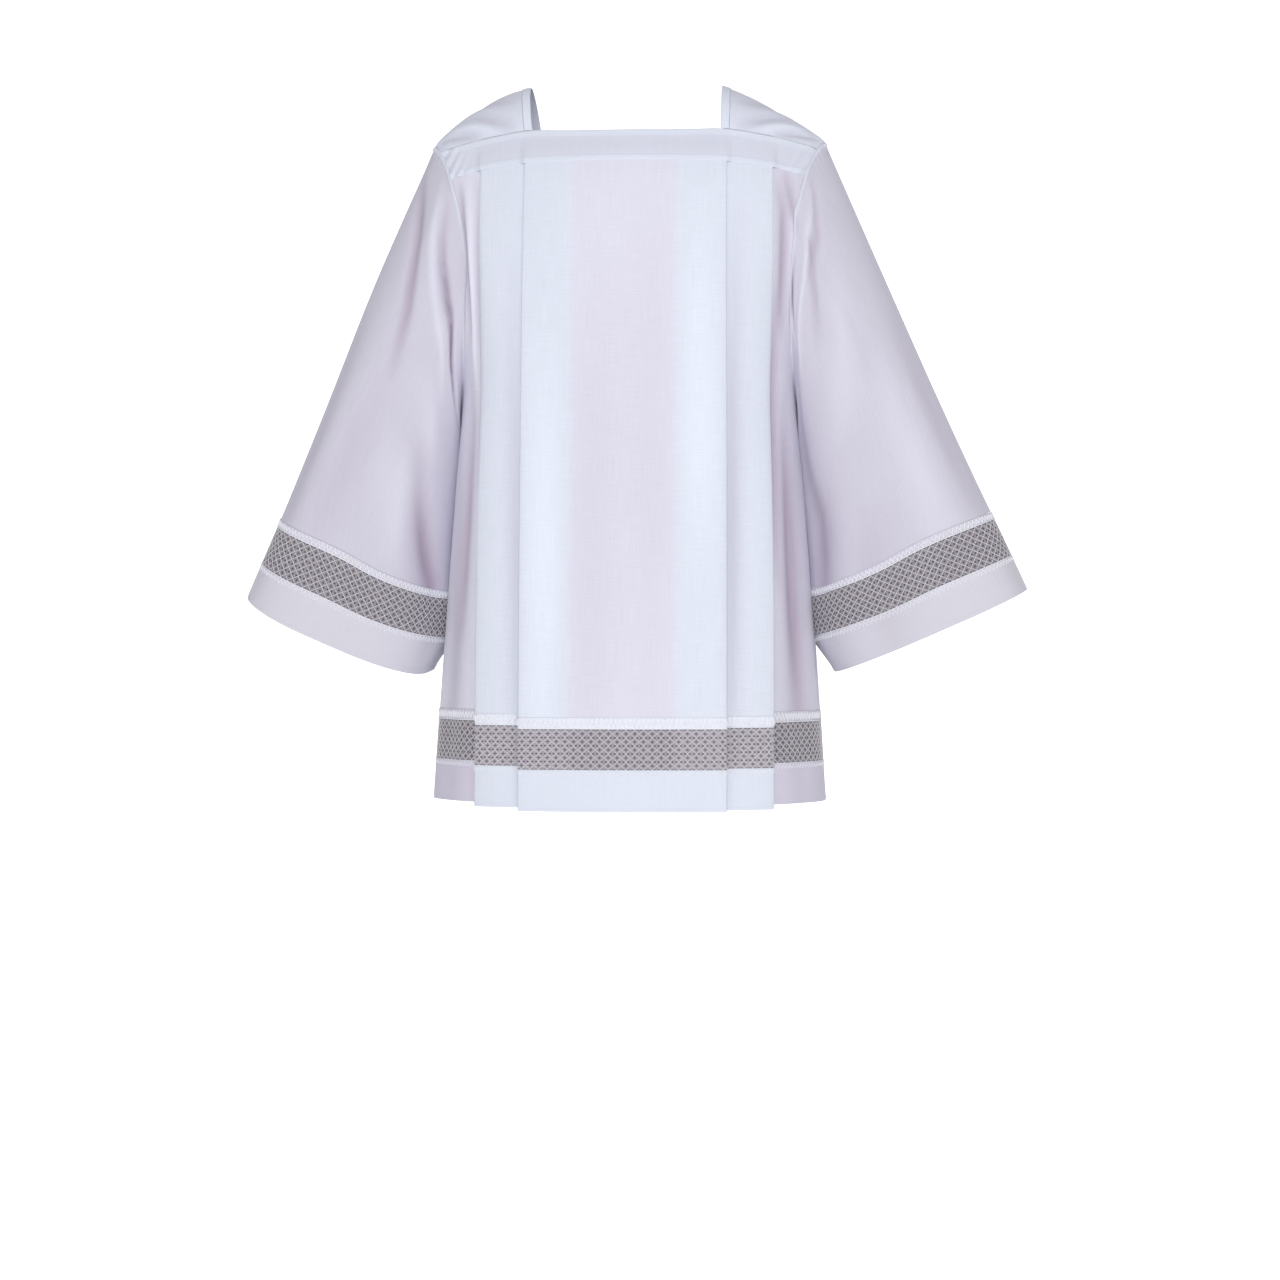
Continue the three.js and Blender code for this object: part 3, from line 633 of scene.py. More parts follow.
def armhole_point(name, angle):
    """The armhole seen from the side: angle 0 is its top, a quarter turn its front."""
    z = ARMHOLE_MIDDLE + ARMHOLE_HALF_HEIGHT * np.cos(angle)
    front = on_torso("front", z, SIDES[name] * reach("front", z), 0.0)
    back = on_torso("back", z, SIDES[name] * reach("back", z), 0.0)
    return np.where((np.sin(angle) >= 0)[..., None], front, back) * (SIDES[name], 1, 1)


def shoulder_points(name, out_share, over):
    tops = {face: band_top_point(name, face, 1.0)[2] for face in FACING}
    corner = {face: math.acos((top - ARMHOLE_MIDDLE) / ARMHOLE_HALF_HEIGHT) for face, top in tops.items()}
    edge_angle = corner["front"] - (corner["back"] + corner["front"]) * over
    q, w = out_share[..., None], over[..., None]
    point = (1 - q) * neck_side_point(name, over) + q * armhole_point(name, edge_angle)
    for face, near in (("front", 1 - w), ("back", w)):
        point = point + near * band_top_point(name, face, out_share)
        ends = (1 - q) * band_top_point(name, face, 0.0) + q * band_top_point(name, face, 1.0)
        point = point - near * ends
    point[..., 2] += SHOULDER_ROUND[name] * 16 * (q * (1 - q) * w * (1 - w))[..., 0]
    return point * (SIDES[name], 1, 1)


def shoulder_grid(name, from_share, to_share, columns, rows):
    out_share, over = np.meshgrid(np.linspace(from_share, to_share, columns), np.linspace(0, 1, rows))
    gap = YOKE_SEAM_GAP / (0.210 + (0.090 - 0.210) * out_share)
    return shoulder_points(name, out_share, gap + (1 - 2 * gap) * over), out_share, over


TAPE_COTTON = cotton("tape_cotton", COTTON_PLIED, COTTON_PLIED, slubs=0.06)
TAPE_SHARE = NECK_TAPE_WIDTH / SHOULDER_WIDTH

for name, side in SIDES.items():
    points, out_share, over = shoulder_grid(name, 0.0, TAPE_SHARE, 13, 81)
    normal = surface_normals(points, False) * side
    normal *= np.sign(normal[40, 6, 2])
    across = out_share / TAPE_SHARE
    rounded = np.sqrt(np.clip(1 - (2 * np.abs(across - 0.5)) ** 8, 0, 1))[..., None]
    outer = points + normal * (0.0003 + (CLOTH_THICKNESS / 2 + NECK_TAPE_RISE) * rounded)
    inner = points - normal * CLOTH_THICKNESS / 2
    tape, flat, area = cloth_shell(f"{name}_neck_tape_cloth", outer, inner, tint=np.ones(across.shape))
    stitches = sew(f"{name}_neck_tape_stitching", [outer[2:-2, 11] + 0.0001 * normal[2:-2, 11],
                                                   outer[2:-2, 1] + 0.0001 * normal[2:-2, 1]],
                   STITCH_RUN, "plain_cloth", stitch_pitch=0.003, stitch_length=0.0024,
                   thread_radius=0.0002, material=SEWING_THREAD)
    hang(tape, f"{name}_neck_tape", TAPE_COTTON)


# The shoulder pieces. Each is one layer of plain cotton, caught into both bands, the neck tape and the
# sleeve's seam, which pulls it into a few soft creases.

# Paths over a shoulder, as lengths out from the neck and over from the front band.
SHOULDER_CREASES = [
    {"path": [(0.020, 0.004), (0.050, 0.022), (0.084, 0.046)], "width": 0.0055, "depth": -0.0040},
    {"path": [(0.044, 0.004), (0.072, 0.016), (0.108, 0.030)], "width": 0.0050, "depth": 0.0028},
    {"path": [(0.066, 0.002), (0.092, 0.012), (0.124, 0.022)], "width": 0.0045, "depth": -0.0034},
    {"path": [(0.016, 0.040), (0.050, 0.060), (0.090, 0.070)], "width": 0.0070, "depth": -0.0026},
    {"path": [(0.084, 0.060), (0.106, 0.056), (0.126, 0.050)], "width": 0.0045, "depth": -0.0030},
    {"path": [(0.030, 0.150), (0.060, 0.130), (0.100, 0.104)], "width": 0.0060, "depth": -0.0034},
    {"path": [(0.062, 0.146), (0.090, 0.124), (0.120, 0.090)], "width": 0.0050, "depth": 0.0024},
]
SHOULDER_COTTON = cotton("shoulder_cotton", (0.695, 0.722, 0.824), COTTON_PLIED)


def shoulder_lift(out_share, over):
    over_length = over * (0.210 + (0.090 - 0.210) * out_share)
    lift = crease_lift(SHOULDER_CREASES, out_share * SHOULDER_WIDTH, over_length)
    gathers = 0.0010 * np.sin(over * 75 + 2 * np.sin(over * 11)) * ease(0.86, 0.985, out_share)
    return lift + gathers * swell(-0.05, 1.05, over)


for name, side in SIDES.items():
    points, out_share, over = shoulder_grid(name, TAPE_SHARE + SEAM_GAP / SHOULDER_WIDTH, 1.0, 61, 101)
    normal = surface_normals(points, False)
    normal *= np.sign(normal[50, 30, 2])
    lift = shoulder_lift(out_share, over)
    lifted = points + normal * lift[..., None]
    outer, inner = lifted + normal * CLOTH_THICKNESS / 2, lifted - normal * CLOTH_THICKNESS / 2
    # The shoulder's creases are also painted into its colour as shade and highlight, at 0.6 of their depth.
    shoulder, flat, area = cloth_shell(f"{name}_shoulder_cloth", outer, inner, lift=0.6 * lift)
    hang(shoulder, f"{name}_shoulder", SHOULDER_COTTON)


# The body panels. Each is one wide piece of plain cotton, laid in two outward knife pleats a side and
# caught under its band, then left to fall free to the lace tape. The side seams run under the arms.

TAPE_TOP = -0.783
NET_TOP = -0.797
NET_BOTTOM = -0.845
HEM_LEVEL = -0.895
LEVEL_ABOVE_HEM = -0.670
TUCK = 0.008

# How much higher the hem hangs on the second strip of each side, and on the cloth beside it, than in front.
HEM_STEPS = {
    "front": {"left": {"strip": 0.0015, "side": 0.0070}, "right": {"strip": 0.0040, "side": 0.0092}},
    "back": {"left": {"strip": 0.0026, "side": 0.0070}, "right": {"strip": 0.0022, "side": 0.0086}},
}
LEVEL_BELOW_YOKE = ARMHOLE_MIDDLE + ARMHOLE_HALF_HEIGHT * math.cos(3 * math.pi / 8)
# Painted shade: the single cloth on the body's left side is darkened as if it sank in this far.
PAINTED_SIDE_SHADE = 0.0016
BODY_COTTON = cotton("body_cotton", COTTON_SINGLE, COTTON_PLIED, slubs=0.13, patches=0.05)

# How far the free edge of each pleat springs off the cloth below it, and where down the body.
PLEAT_SPRING = {
    "front": [
        {"edge": 0.122, "side": 1, "top": 0.120, "bottom": 1.100, "lift": 0.0062},
        {"edge": 0.122, "side": -1, "top": 0.160, "bottom": 1.100, "lift": 0.0044},
        {"edge": 0.181, "side": 1, "top": 0.180, "bottom": 1.150, "lift": 0.0040},
        {"edge": 0.181, "side": -1, "top": 0.150, "bottom": 1.050, "lift": 0.0026},
    ],
    "back": [
        {"edge": 0.122, "side": 1, "top": 0.180, "bottom": 1.100, "lift": 0.0028},
        {"edge": 0.122, "side": -1, "top": 0.150, "bottom": 1.150, "lift": 0.0036},
        {"edge": 0.181, "side": 1, "top": 0.160, "bottom": 1.050, "lift": 0.0028},
        {"edge": 0.181, "side": -1, "top": 0.200, "bottom": 1.100, "lift": 0.0024},
    ],
}


def half_pleat_line(pitch, end):
    """Half the pleated cloth's line: places across and out, its face's direction, and the plies it tops."""
    runs = []

    def run(start, stop, count, layer, way):
        across = np.linspace(start, stop, count)
        flat = np.zeros(count)
        runs.append((across, flat + layer * pitch, flat, flat + way))

    def turn(edge, layer, way):
        bend = np.linspace(0, np.pi, 7)[1:-1]
        across = edge + way * pitch / 2 * np.sin(bend)
        out = (layer - 0.5) * pitch + pitch / 2 * np.cos(bend)
        runs.append((across, out, np.sin(bend), way * np.cos(bend)))

    layer, start = 4, 0.0
    for edge in PLEAT_EDGES:
        run(start, edge, 31, layer, 1)
        turn(edge, layer, 1)
        run(edge, edge - PLEAT_DEPTH, 11, layer - 1, -1)
        turn(edge - PLEAT_DEPTH, layer - 1, -1)
        start, layer = edge - PLEAT_DEPTH, layer - 2
    run(start, PLEAT_EDGES[-1], 9, layer, 1)
    run(PLEAT_EDGES[-1], end, 34, layer, 1)
    across, out, sideways, outwards = (np.concatenate([part[k] for part in runs]) for k in range(4))
    plies = np.zeros(len(across))
    for edge in PLEAT_EDGES:
        plies = np.maximum(plies, ease(edge - PLEAT_DEPTH - 0.002, edge - PLEAT_DEPTH + 0.001, across)
                           * ease(edge + 0.002, edge + 0.0015, across) * (out > 0.5 * pitch))
    return across, out, sideways, outwards, plies


def spring_out(face, level, across, out):
    lift = 0.0
    for row in PLEAT_SPRING[face]:
        near = ease(row["edge"] - 0.045, row["edge"] + 0.001, row["side"] * across)
        near = near * (row["side"] * across <= row["edge"] + 0.004)
        layer_up = out > (2.6 if row["edge"] == PLEAT_EDGES[0] else 0.6) * pleat_pitch(level)
        lift = lift + row["lift"] * near * layer_up * swell(row["top"], row["bottom"], -level)
    return lift


def height_of(face, level, across):
    band_low = NECK_EDGE[face] - BAND_HEIGHT
    under_yoke = np.clip((level - LEVEL_BELOW_YOKE) / (band_low - LEVEL_BELOW_YOKE), 0, 1)
    return level - under_yoke * droop(face, across)


def hem_step(face, level, across, layer):
    """How much higher than the front box a lower layer of the pleats hangs, near the hem."""
    near_hem = np.clip((LEVEL_ABOVE_HEM - level) / (LEVEL_ABOVE_HEM - TAPE_TOP), 0, 1)
    steps = HEM_STEPS[face]
    strip = np.where(across > 0, steps["left"]["strip"], steps["right"]["strip"])
    side = np.where(across > 0, steps["left"]["side"], steps["right"]["side"])
    lower = np.clip((4 - layer) / 2, 0, 1)
    lowest = np.clip((2 - layer) / 2, 0, 1)
    return near_hem * (strip * lower + (side - strip) * lowest)


def in_front(across):
    """One where the pleats stand in front, and nothing on the single cloth at the sides."""
    return (np.abs(across) < PLEAT_EDGES[-1] + 0.003) * 1.0


def pleated_grid(face, levels, thickness, out_extra=0.0):
    """Outer and inner points of a stretch of the pleated body, with their plies, place across and lift."""
    outer, inner, plies, acrosses, lifts = [], [], [], [], []
    for level in levels:
        end = reach_along(face, lambda across: height_of(face, level, across)) - SEAM_GAP / 2
        across, out, sideways, outwards, ply = half_pleat_line(pleat_pitch(level), end)
        across = np.concatenate([-across[:0:-1], across])
        out = np.concatenate([out[:0:-1], out])
        sideways = np.concatenate([-sideways[:0:-1], sideways])
        outwards = np.concatenate([outwards[:0:-1], outwards])
        plies.append(np.concatenate([ply[:0:-1], ply]))
        height = height_of(face, level, across) + hem_step(face, level, across, out / pleat_pitch(level))
        acrosses.append(across)
        lifts.append(crease_lift(BODY_CREASES[face], across, -height))
        out = out + spring_out(face, level, across, out)
        for grid, way in ((outer, 1), (inner, -1)):
            shift = way * thickness / 2 + (out_extra if way > 0 else 0.0)
            grid.append(on_torso(face, height, across + sideways * shift, out + outwards * shift))
    return (np.array(rows) for rows in (outer, inner, plies, acrosses, lifts))


for face in FACING:
    top = NECK_EDGE[face] - BAND_HEIGHT + TUCK
    levels = np.linspace(top, TAPE_TOP + SEAM_GAP / 2, 81)
    outer, inner, plies, across, lift = pleated_grid(face, levels, CLOTH_THICKNESS)
    # Painted shade on the single cloth at the body's left side, in its colour only.
    lift = lift - PAINTED_SIDE_SHADE * ease(0.182, 0.188, across)
    panel, flat, area = cloth_shell(f"{face}_panel_cloth", outer, inner, tint=plies, lift=lift)
    hang(panel, f"{face}_panel", BODY_COTTON)


# The body's lace tapes. A narrow white beading joins cloth to net: a straight cord runs along its lower edge,
# and a thick thread zigzags above it.

LACE_GROUND = cotton("lace_tape_ground", (0.62, 0.61, 0.70), (0.775, 0.805, 0.90), pitch=0.0008, slubs=0.2)
LACE_CORD = thread_material("lace_cord", (0.90, 0.92, 0.97))
CORD_RADIUS = 0.0007
CORD_LIES_AT = 0.94
ZIGZAG_FROM = 0.08
ZIGZAG_TO = 0.88
ZIGZAG_PITCH = 0.0056
ZIGZAG_POINTS = 4


def row_shares(grid):
    """How far along its own row every point of a cloth grid lies, from 0 to 1."""
    steps = np.linalg.norm(np.diff(grid, axis=1), axis=-1)
    run = np.concatenate([np.zeros((len(grid), 1)), np.cumsum(steps, axis=1)], axis=1)
    return run / run[:, -1:]


def on_cloth(grid, along_share, down_share):
    """The points of a cloth grid at places along and down it, each a share of its size."""
    rows, columns = grid.shape[:2]
    shares = row_shares(grid)
    i = np.clip(down_share * (rows - 1), 0, rows - 1.000001)
    j = np.empty(i.shape)
    for row in np.unique(np.rint(i)).astype(int):
        here = np.rint(i) == row
        j[here] = np.interp(along_share[here], shares[row], np.arange(columns))
    j = np.clip(j, 0, columns - 1.000001)
    i0, j0 = i.astype(int), j.astype(int)
    fi, fj = (i - i0)[..., None], (j - j0)[..., None]
    upper = grid[i0, j0] * (1 - fj) + grid[i0, j0 + 1] * fj
    lower = grid[i0 + 1, j0] * (1 - fj) + grid[i0 + 1, j0 + 1] * fj
    return upper * (1 - fi) + lower * fi


def run_length(grid):
    return float(np.linalg.norm(np.diff(grid[len(grid) // 2], axis=0), axis=-1).sum())


def zigzag(grid, high, low):
    turns = int(run_length(grid) / ZIGZAG_PITCH) * 2
    count = turns * ZIGZAG_POINTS + 1
    wave = np.arcsin(np.sin(np.linspace(0, turns * np.pi, count)) * 0.995) / (np.pi / 2)
    return on_cloth(grid, np.linspace(0, 1, count), (high + low) / 2 + (low - high) / 2 * wave)


def edge_line(grid, down):
    count = int(run_length(grid) / 0.004)
    return on_cloth(grid, np.linspace(0, 1, count), np.full(count, down))


def sew_beading(name, raised):
    """The cords of a lace tape: a straight one low down and the zigzag above it."""
    lines = [edge_line(raised, CORD_LIES_AT), zigzag(raised, ZIGZAG_FROM, ZIGZAG_TO)]
    return sew(f"{name}_lace_tape_cords", lines, THREAD_RUN, "lace_tape",
               thread_radius=CORD_RADIUS, sides=5, material=LACE_CORD)


for face in FACING:
    levels = np.linspace(TAPE_TOP - SEAM_GAP / 2, NET_TOP + SEAM_GAP / 2, 7)
    outer, inner, _, across, _ = pleated_grid(face, levels, CLOTH_THICKNESS)
    tape, flat, area = cloth_shell(f"{face}_lace_tape_ground", outer, inner, tint=in_front(across))
    raised, *_ = pleated_grid(face, levels, CLOTH_THICKNESS, CORD_RADIUS * 0.6)
    cords = sew_beading(face, raised)
    hang(tape, f"{face}_lace_tape", LACE_GROUND)


# The body's net bands. A fine knotted net is let in between the tape and the hem: slanting threads cross
# in small lozenges over a thinner ground mesh. It is pleated with the panel, so it lies three deep in places.

NET_THREAD = thread_material("net_thread", (0.90, 0.88, 0.90))
FINE_NET_THREAD = thread_material("fine_net_thread", (0.48, 0.465, 0.50))
NET_THREAD_RADIUS = 0.00034
FINE_THREAD_RADIUS = 0.00024
LOZENGE_WIDTH = 0.00525
LOZENGES_DOWN = 5
EYE_WIDE = 1.35
EYE_TALL = 0.24
EYE_RIM = 1.15
EYE_HEART = 0.60
EYE_CLEARNESS = 0.10
PLIED_NET_GAIN = 1.58


def make_net_ground(name, light, dark):
    """The ground mesh: fine threads that thin out to a darker eye in the middle of every lozenge."""
    material = bpy.data.materials.new(name)
    material.use_nodes = True
    tree = material.node_tree
    shader = tree.nodes["Principled BSDF"]

    def maths(operation, a, b=0.0):
        return place(tree, "ShaderNodeMath", {0: a, 1: b}, operation=operation).outputs[0]

    cloth = place(tree, "ShaderNodeUVMap", {}, uv_map="cloth").outputs[0]
    lozenges = place(tree, "ShaderNodeUVMap", {}, uv_map="lozenges").outputs[0]
    split = place(tree, "ShaderNodeSeparateXYZ", {0: lozenges}).outputs
    along = maths("COSINE", maths("MULTIPLY", split["X"], 2 * math.pi))
    down = maths("COSINE", maths("MULTIPLY", split["Y"], 2 * math.pi))
    sideways = maths("DIVIDE", maths("ADD", maths("MULTIPLY", along, maths("SIGN", down)), 1.0), EYE_WIDE)
    upwards = maths("DIVIDE", maths("SUBTRACT", 1.0, maths("ABSOLUTE", down)), EYE_TALL)
    eye = place(
        tree,
        "ShaderNodeMapRange",
        {"Value": maths("ADD", sideways, upwards), "From Min": EYE_RIM, "From Max": EYE_HEART},
    ).outputs[0]
    weave = place(tree, "ShaderNodeGroup", {"Cloth": cloth, "Thread Pitch": 0.0011, "Slub Contrast": 0.5,
                                            "Patch Contrast": 0.25}, node_tree=WOVEN_THREAD).outputs
    plies = place(tree, "ShaderNodeAttribute", {}, attribute_name="plies").outputs["Fac"]
    plied = mix_colours(tree, plies, light, tuple(PLIED_NET_GAIN * part for part in light))
    coloured = mix_colours(tree, eye, plied, dark)
    toned = place(
        tree, "ShaderNodeVectorMath", {0: coloured, "Scale": weave["Tone"]}, operation="SCALE"
    ).outputs[0]
    tree.links.new(toned, shader.inputs["Base Color"])
    tree.links.new(maths("SUBTRACT", 1.0, maths("MULTIPLY", eye, EYE_CLEARNESS)), shader.inputs["Alpha"])
    bump = place(
        tree, "ShaderNodeBump", {"Strength": 0.4, "Distance": 0.0003, "Height": weave["Height"]}
    ).outputs[0]
    tree.links.new(bump, shader.inputs["Normal"])
    shader.inputs["Roughness"].default_value = 0.85
    return material


NET_GROUND = make_net_ground("net_ground", (0.255, 0.236, 0.274), (0.080, 0.074, 0.090))


def map_lozenges(net, grid, closed):
    """A second flat map on a net, that counts its lozenges along and down."""
    rows, columns = grid.shape[:2]
    ring = ring_closed(grid) if closed else grid
    count = round(run_length(ring) / LOZENGE_WIDTH / 2) * 2
    shares = row_shares(ring)
    mesh = net.data
    corners = np.empty(len(mesh.loops), dtype=np.int32)
    mesh.loops.foreach_get("vertex_index", corners)
    row, column = np.divmod(corners % (rows * columns), columns)
    along = shares[row, column]
    if closed:
        flat = np.empty(2 * len(corners), dtype=np.float32)
        mesh.uv_layers["cloth"].data.foreach_get("uv", flat)
        along = np.where((column == 0) & (flat[::2] > 0), 1.0, along)
    lozenges = mesh.uv_layers.new(name="lozenges")
    places = np.stack([along * count, row / (rows - 1) * LOZENGES_DOWN], -1)
    lozenges.data.foreach_set("uv", places.astype(np.float32).ravel())
    return count


def ring_closed(grid):
    return np.concatenate([grid, grid[:, :1]], axis=1)


def slanting_threads(grid, count, closed, slope):
    """Threads that slant both ways across a band of net, a number of lozenges along for each one down."""
    down = np.linspace(0, 1, 2 * slope * LOZENGES_DOWN + 1)
    reach_along_net = slope * LOZENGES_DOWN
    lines = []
    for way in (1, -1):
        start, stop = (0, count) if closed else (-reach_along_net, count + reach_along_net)
        for k in range(start, stop, slope):
            along = (k + way * reach_along_net * down) / count
            kept = closed | ((along >= 0) & (along <= 1))
            if np.count_nonzero(kept) > 2:
                lines.append(on_cloth(grid, (along % 1.0 if closed else along)[kept], down[kept]))
    return lines


def knot_net(name, net, middle, raised, closed):
    """The two sets of slanting threads that lie on a net's ground mesh: thick ones and fine steep ones."""
    count = map_lozenges(net, middle, closed)
    thick = sew(f"{name}_net_thick_threads", slanting_threads(raised, count, closed, 2), THREAD_RUN, "net",
                thread_radius=NET_THREAD_RADIUS, sides=4, material=NET_THREAD)
    fine = sew(f"{name}_net_fine_threads", slanting_threads(raised, count, closed, 1), THREAD_RUN, "net",
               thread_radius=FINE_THREAD_RADIUS, sides=3, material=FINE_NET_THREAD)
    return [thick, fine]


for face in FACING:
    levels = np.linspace(NET_TOP - SEAM_GAP / 2, NET_BOTTOM + SEAM_GAP / 2, 13)
    outer, inner, plies, across, _ = pleated_grid(face, levels, CLOTH_THICKNESS * 0.6)
    tint = 0.5 * in_front(across) + 0.5 * plies
    net, flat, area = cloth_shell(f"{face}_net_ground", outer, inner, tint=tint)
    raised, *_ = pleated_grid(face, levels, CLOTH_THICKNESS * 0.6, NET_THREAD_RADIUS * 0.5)
    threads = knot_net(face, net, (outer + inner) / 2, raised, False)
    hang(net, f"{face}_net", NET_GROUND)


# The hem bands. Plain cotton turned up double, with a finer zigzag thread along its upper edge and one
# row of stitches above the fold.

HEM_COTTON = cotton("hem_cotton", (0.665, 0.640, 0.755), COTTON_PLIED, slubs=0.08)
HEM_THICKNESS = 0.0009
HEM_TRIM = 0.0078
TRIM_RADIUS = 0.0004
TRIM_CORD_AT = 0.02
TRIM_FROM = 0.03
HEM_STITCH_UP = 0.004


def trim_hem(name, raised, depth):
    """The zigzag thread along a hem's upper edge, and the row of stitches above its fold."""
    lines = [edge_line(raised, TRIM_CORD_AT), zigzag(raised, TRIM_FROM, HEM_TRIM / depth)]
    cords = sew(f"{name}_trim", lines, THREAD_RUN, "lace_tape",
                thread_radius=TRIM_RADIUS, sides=5, material=LACE_CORD)
    stitches = sew(f"{name}_stitching", [edge_line(raised, 1 - HEM_STITCH_UP / depth)], STITCH_RUN,
                   "plain_cloth", stitch_pitch=0.003, stitch_length=0.0024, thread_radius=0.0002,
                   material=SEWING_THREAD)
    return [cords, stitches]


for face in FACING:
    levels = np.linspace(NET_BOTTOM - SEAM_GAP / 2, HEM_LEVEL, 21)
    outer, inner, _, across, _ = pleated_grid(face, levels, HEM_THICKNESS)
    hem, flat, area = cloth_shell(f"{face}_hem_cloth", outer, inner, tint=in_front(across))
    raised, *_ = pleated_grid(face, levels, HEM_THICKNESS, CORD_RADIUS * 0.5)
    sewing = trim_hem(f"{face}_hem", raised, NET_BOTTOM - HEM_LEVEL)
    hang(hem, f"{face}_hem", HEM_COTTON)


# The sleeves. Each is one wide piece of plain cotton, seamed under the arm and set into the armhole with
# small puckers. It narrows a little on the way down and flares at the cuff, in a few long soft folds.

# The over line runs from the shoulder tip to the outer corner of the cuff, the under line from the armpit.
SLEEVES = {
    "left": {
        "share": [0.0, 0.3, 0.6, 0.86, 1.0],
        "over_x": [0.244, 0.316, 0.389, 0.455, 0.490],
        "over_z": [-0.071, -0.238, -0.405, -0.549, -0.627],
        "under_x": [0.211, 0.219, 0.2265, 0.2325, 0.256],
        "under_y": [0.000, 0.012, 0.020, 0.022, 0.016],
        "under_z": [-0.390, -0.492, -0.594, -0.682, -0.729],
        "half_depth": [0.062, 0.074, 0.084, 0.091, 0.095],
    },
    "right": {
        "share": [0.0, 0.3, 0.6, 0.86, 1.0],
        "over_x": [0.244, 0.317, 0.382, 0.440, 0.473],
        "over_z": [-0.071, -0.240, -0.408, -0.553, -0.632],
        "under_x": [0.211, 0.219, 0.2265, 0.232, 0.252],
        "under_y": [0.000, 0.012, 0.020, 0.022, 0.016],
        "under_z": [-0.390, -0.492, -0.594, -0.682, -0.729],
        "half_depth": [0.062, 0.074, 0.085, 0.093, 0.097],
    },
}
CUFF_BULGE = {"left": 0.005, "right": 0.016}
SLEEVE_FLATNESS = 0.66

# How far the cloth along the under line tucks in and back, behind the side of the body.
TUCKED_IN = 0.009
TUCKED_BACK = 0.026
SLEEVE_READ = {
    name: {
        column: smooth_column(
            [{"share": a, column: b} for a, b in zip(table["share"], values)], "share", column
        )
        for column, values in table.items()
        if column != "share"
    }
    for name, table in SLEEVES.items()
}

# Paths down a sleeve: degrees round it from its top over the front, and shares of its length from the
# armhole.
SLEEVE_CREASES = {
    "left": [
        {"path": [(38, 0.02), (46, 0.05), (60, 0.09), (78, 0.10), (88, 0.15), (94, 0.22)],
         "width": 0.0050, "depth": -0.0040},
        {"path": [(40, 0.01), (56, 0.055), (73, 0.063), (90, 0.073), (108, 0.09), (122, 0.14)],
         "width": 0.0050, "depth": 0.0034},
        {"path": [(76, 0.002), (92, 0.006), (104, 0.02), (116, 0.05)], "width": 0.0036, "depth": -0.0044},
        {"path": [(116, 0.04), (132, 0.08), (138, 0.19), (138, 0.35), (134, 0.52), (138, 0.65), (144, 0.95)],
         "width": 0.0120, "depth": -0.0036},
        {"path": [(132, 0.40), (128, 0.55), (134, 0.66), (140, 0.85)], "width": 0.0200, "depth": -0.0026},
        {"path": [(60, 0.16), (84, 0.30), (98, 0.46)], "width": 0.0160, "depth": 0.0020},
        {"path": [(66, 0.36), (70, 0.62), (72, 0.95)], "width": 0.0200, "depth": 0.0020},
        {"path": [(30, 0.36), (34, 0.60), (40, 0.86)], "width": 0.0150, "depth": -0.0016},
        {"path": [(92, 0.60), (100, 0.80), (104, 1.10)], "width": 0.0140, "depth": -0.0018},
        {"path": [(226, 0.10), (222, 0.50), (218, 0.97)], "width": 0.0200, "depth": -0.0080},
        {"path": [(292, 0.03), (284, 0.30), (278, 0.60)], "width": 0.0160, "depth": -0.0045},
        {"path": [(262, 0.30), (258, 0.70), (254, 1.10)], "width": 0.0200, "depth": 0.0030},
        {"path": [(238, 0.03), (262, 0.11), (276, 0.24), (284, 0.36)], "width": 0.0080, "depth": -0.0055},
        {"path": [(256, 0.04), (276, 0.12), (292, 0.22)], "width": 0.0080, "depth": 0.0030},
    ],
    "right": [
        {"path": [(8, 0.03), (14, 0.08), (30, 0.12), (43, 0.155), (54, 0.20), (64, 0.25), (72, 0.33),
                  (76, 0.40)],
         "width": 0.0070, "depth": -0.0062},
        {"path": [(36, 0.02), (46, 0.07), (56, 0.11), (70, 0.145), (86, 0.165), (100, 0.20), (112, 0.25)],
         "width": 0.0070, "depth": 0.0042},
        {"path": [(50, 0.03), (62, 0.08), (72, 0.10), (84, 0.108), (98, 0.12), (110, 0.14), (126, 0.15),
                  (148, 0.17)],
         "width": 0.0048, "depth": -0.0072},
        {"path": [(98, 0.38), (109, 0.48), (117, 0.55), (126, 0.62), (138, 0.70), (146, 0.82), (148, 0.97)],
         "width": 0.0120, "depth": -0.0050},
        {"path": [(112, 0.50), (122, 0.60), (130, 0.70), (134, 0.90)], "width": 0.0220, "depth": -0.0036},
        {"path": [(92, 0.44), (98, 0.60), (104, 0.76)], "width": 0.0120, "depth": 0.0024},
        {"path": [(76, 0.34), (70, 0.60), (68, 0.92)], "width": 0.0180, "depth": -0.0014},
        {"path": [(24, 0.35), (28, 0.60), (34, 0.92)], "width": 0.0160, "depth": -0.0016},
        {"path": [(90, 0.26), (104, 0.32), (118, 0.42)], "width": 0.0150, "depth": 0.0018},
        {"path": [(232, 0.10), (228, 0.50), (224, 0.97)], "width": 0.0200, "depth": -0.0080},
        {"path": [(296, 0.03), (288, 0.30), (282, 0.60)], "width": 0.0160, "depth": -0.0050},
        {"path": [(258, 0.30), (254, 0.70), (250, 1.10)], "width": 0.0200, "depth": 0.0030},
        {"path": [(240, 0.04), (266, 0.12), (282, 0.24), (290, 0.36)], "width": 0.0080, "depth": -0.0060},
        {"path": [(258, 0.04), (280, 0.12), (296, 0.22)], "width": 0.0080, "depth": 0.0032},
    ],
}
DEGREE = 0.0021
DOWN_THE_SLEEVE = 0.474
SLEEVE_CREASES = {
    name: [
        {**crease, "path": [(angle * DEGREE, share * DOWN_THE_SLEEVE) for angle, share in crease["path"]]}
        for crease in creases
    ]
    for name, creases in SLEEVE_CREASES.items()
}
OVER_LENGTH = 0.604
UNDER_LENGTH = 0.344
SLEEVE_SEAT = 0.0003
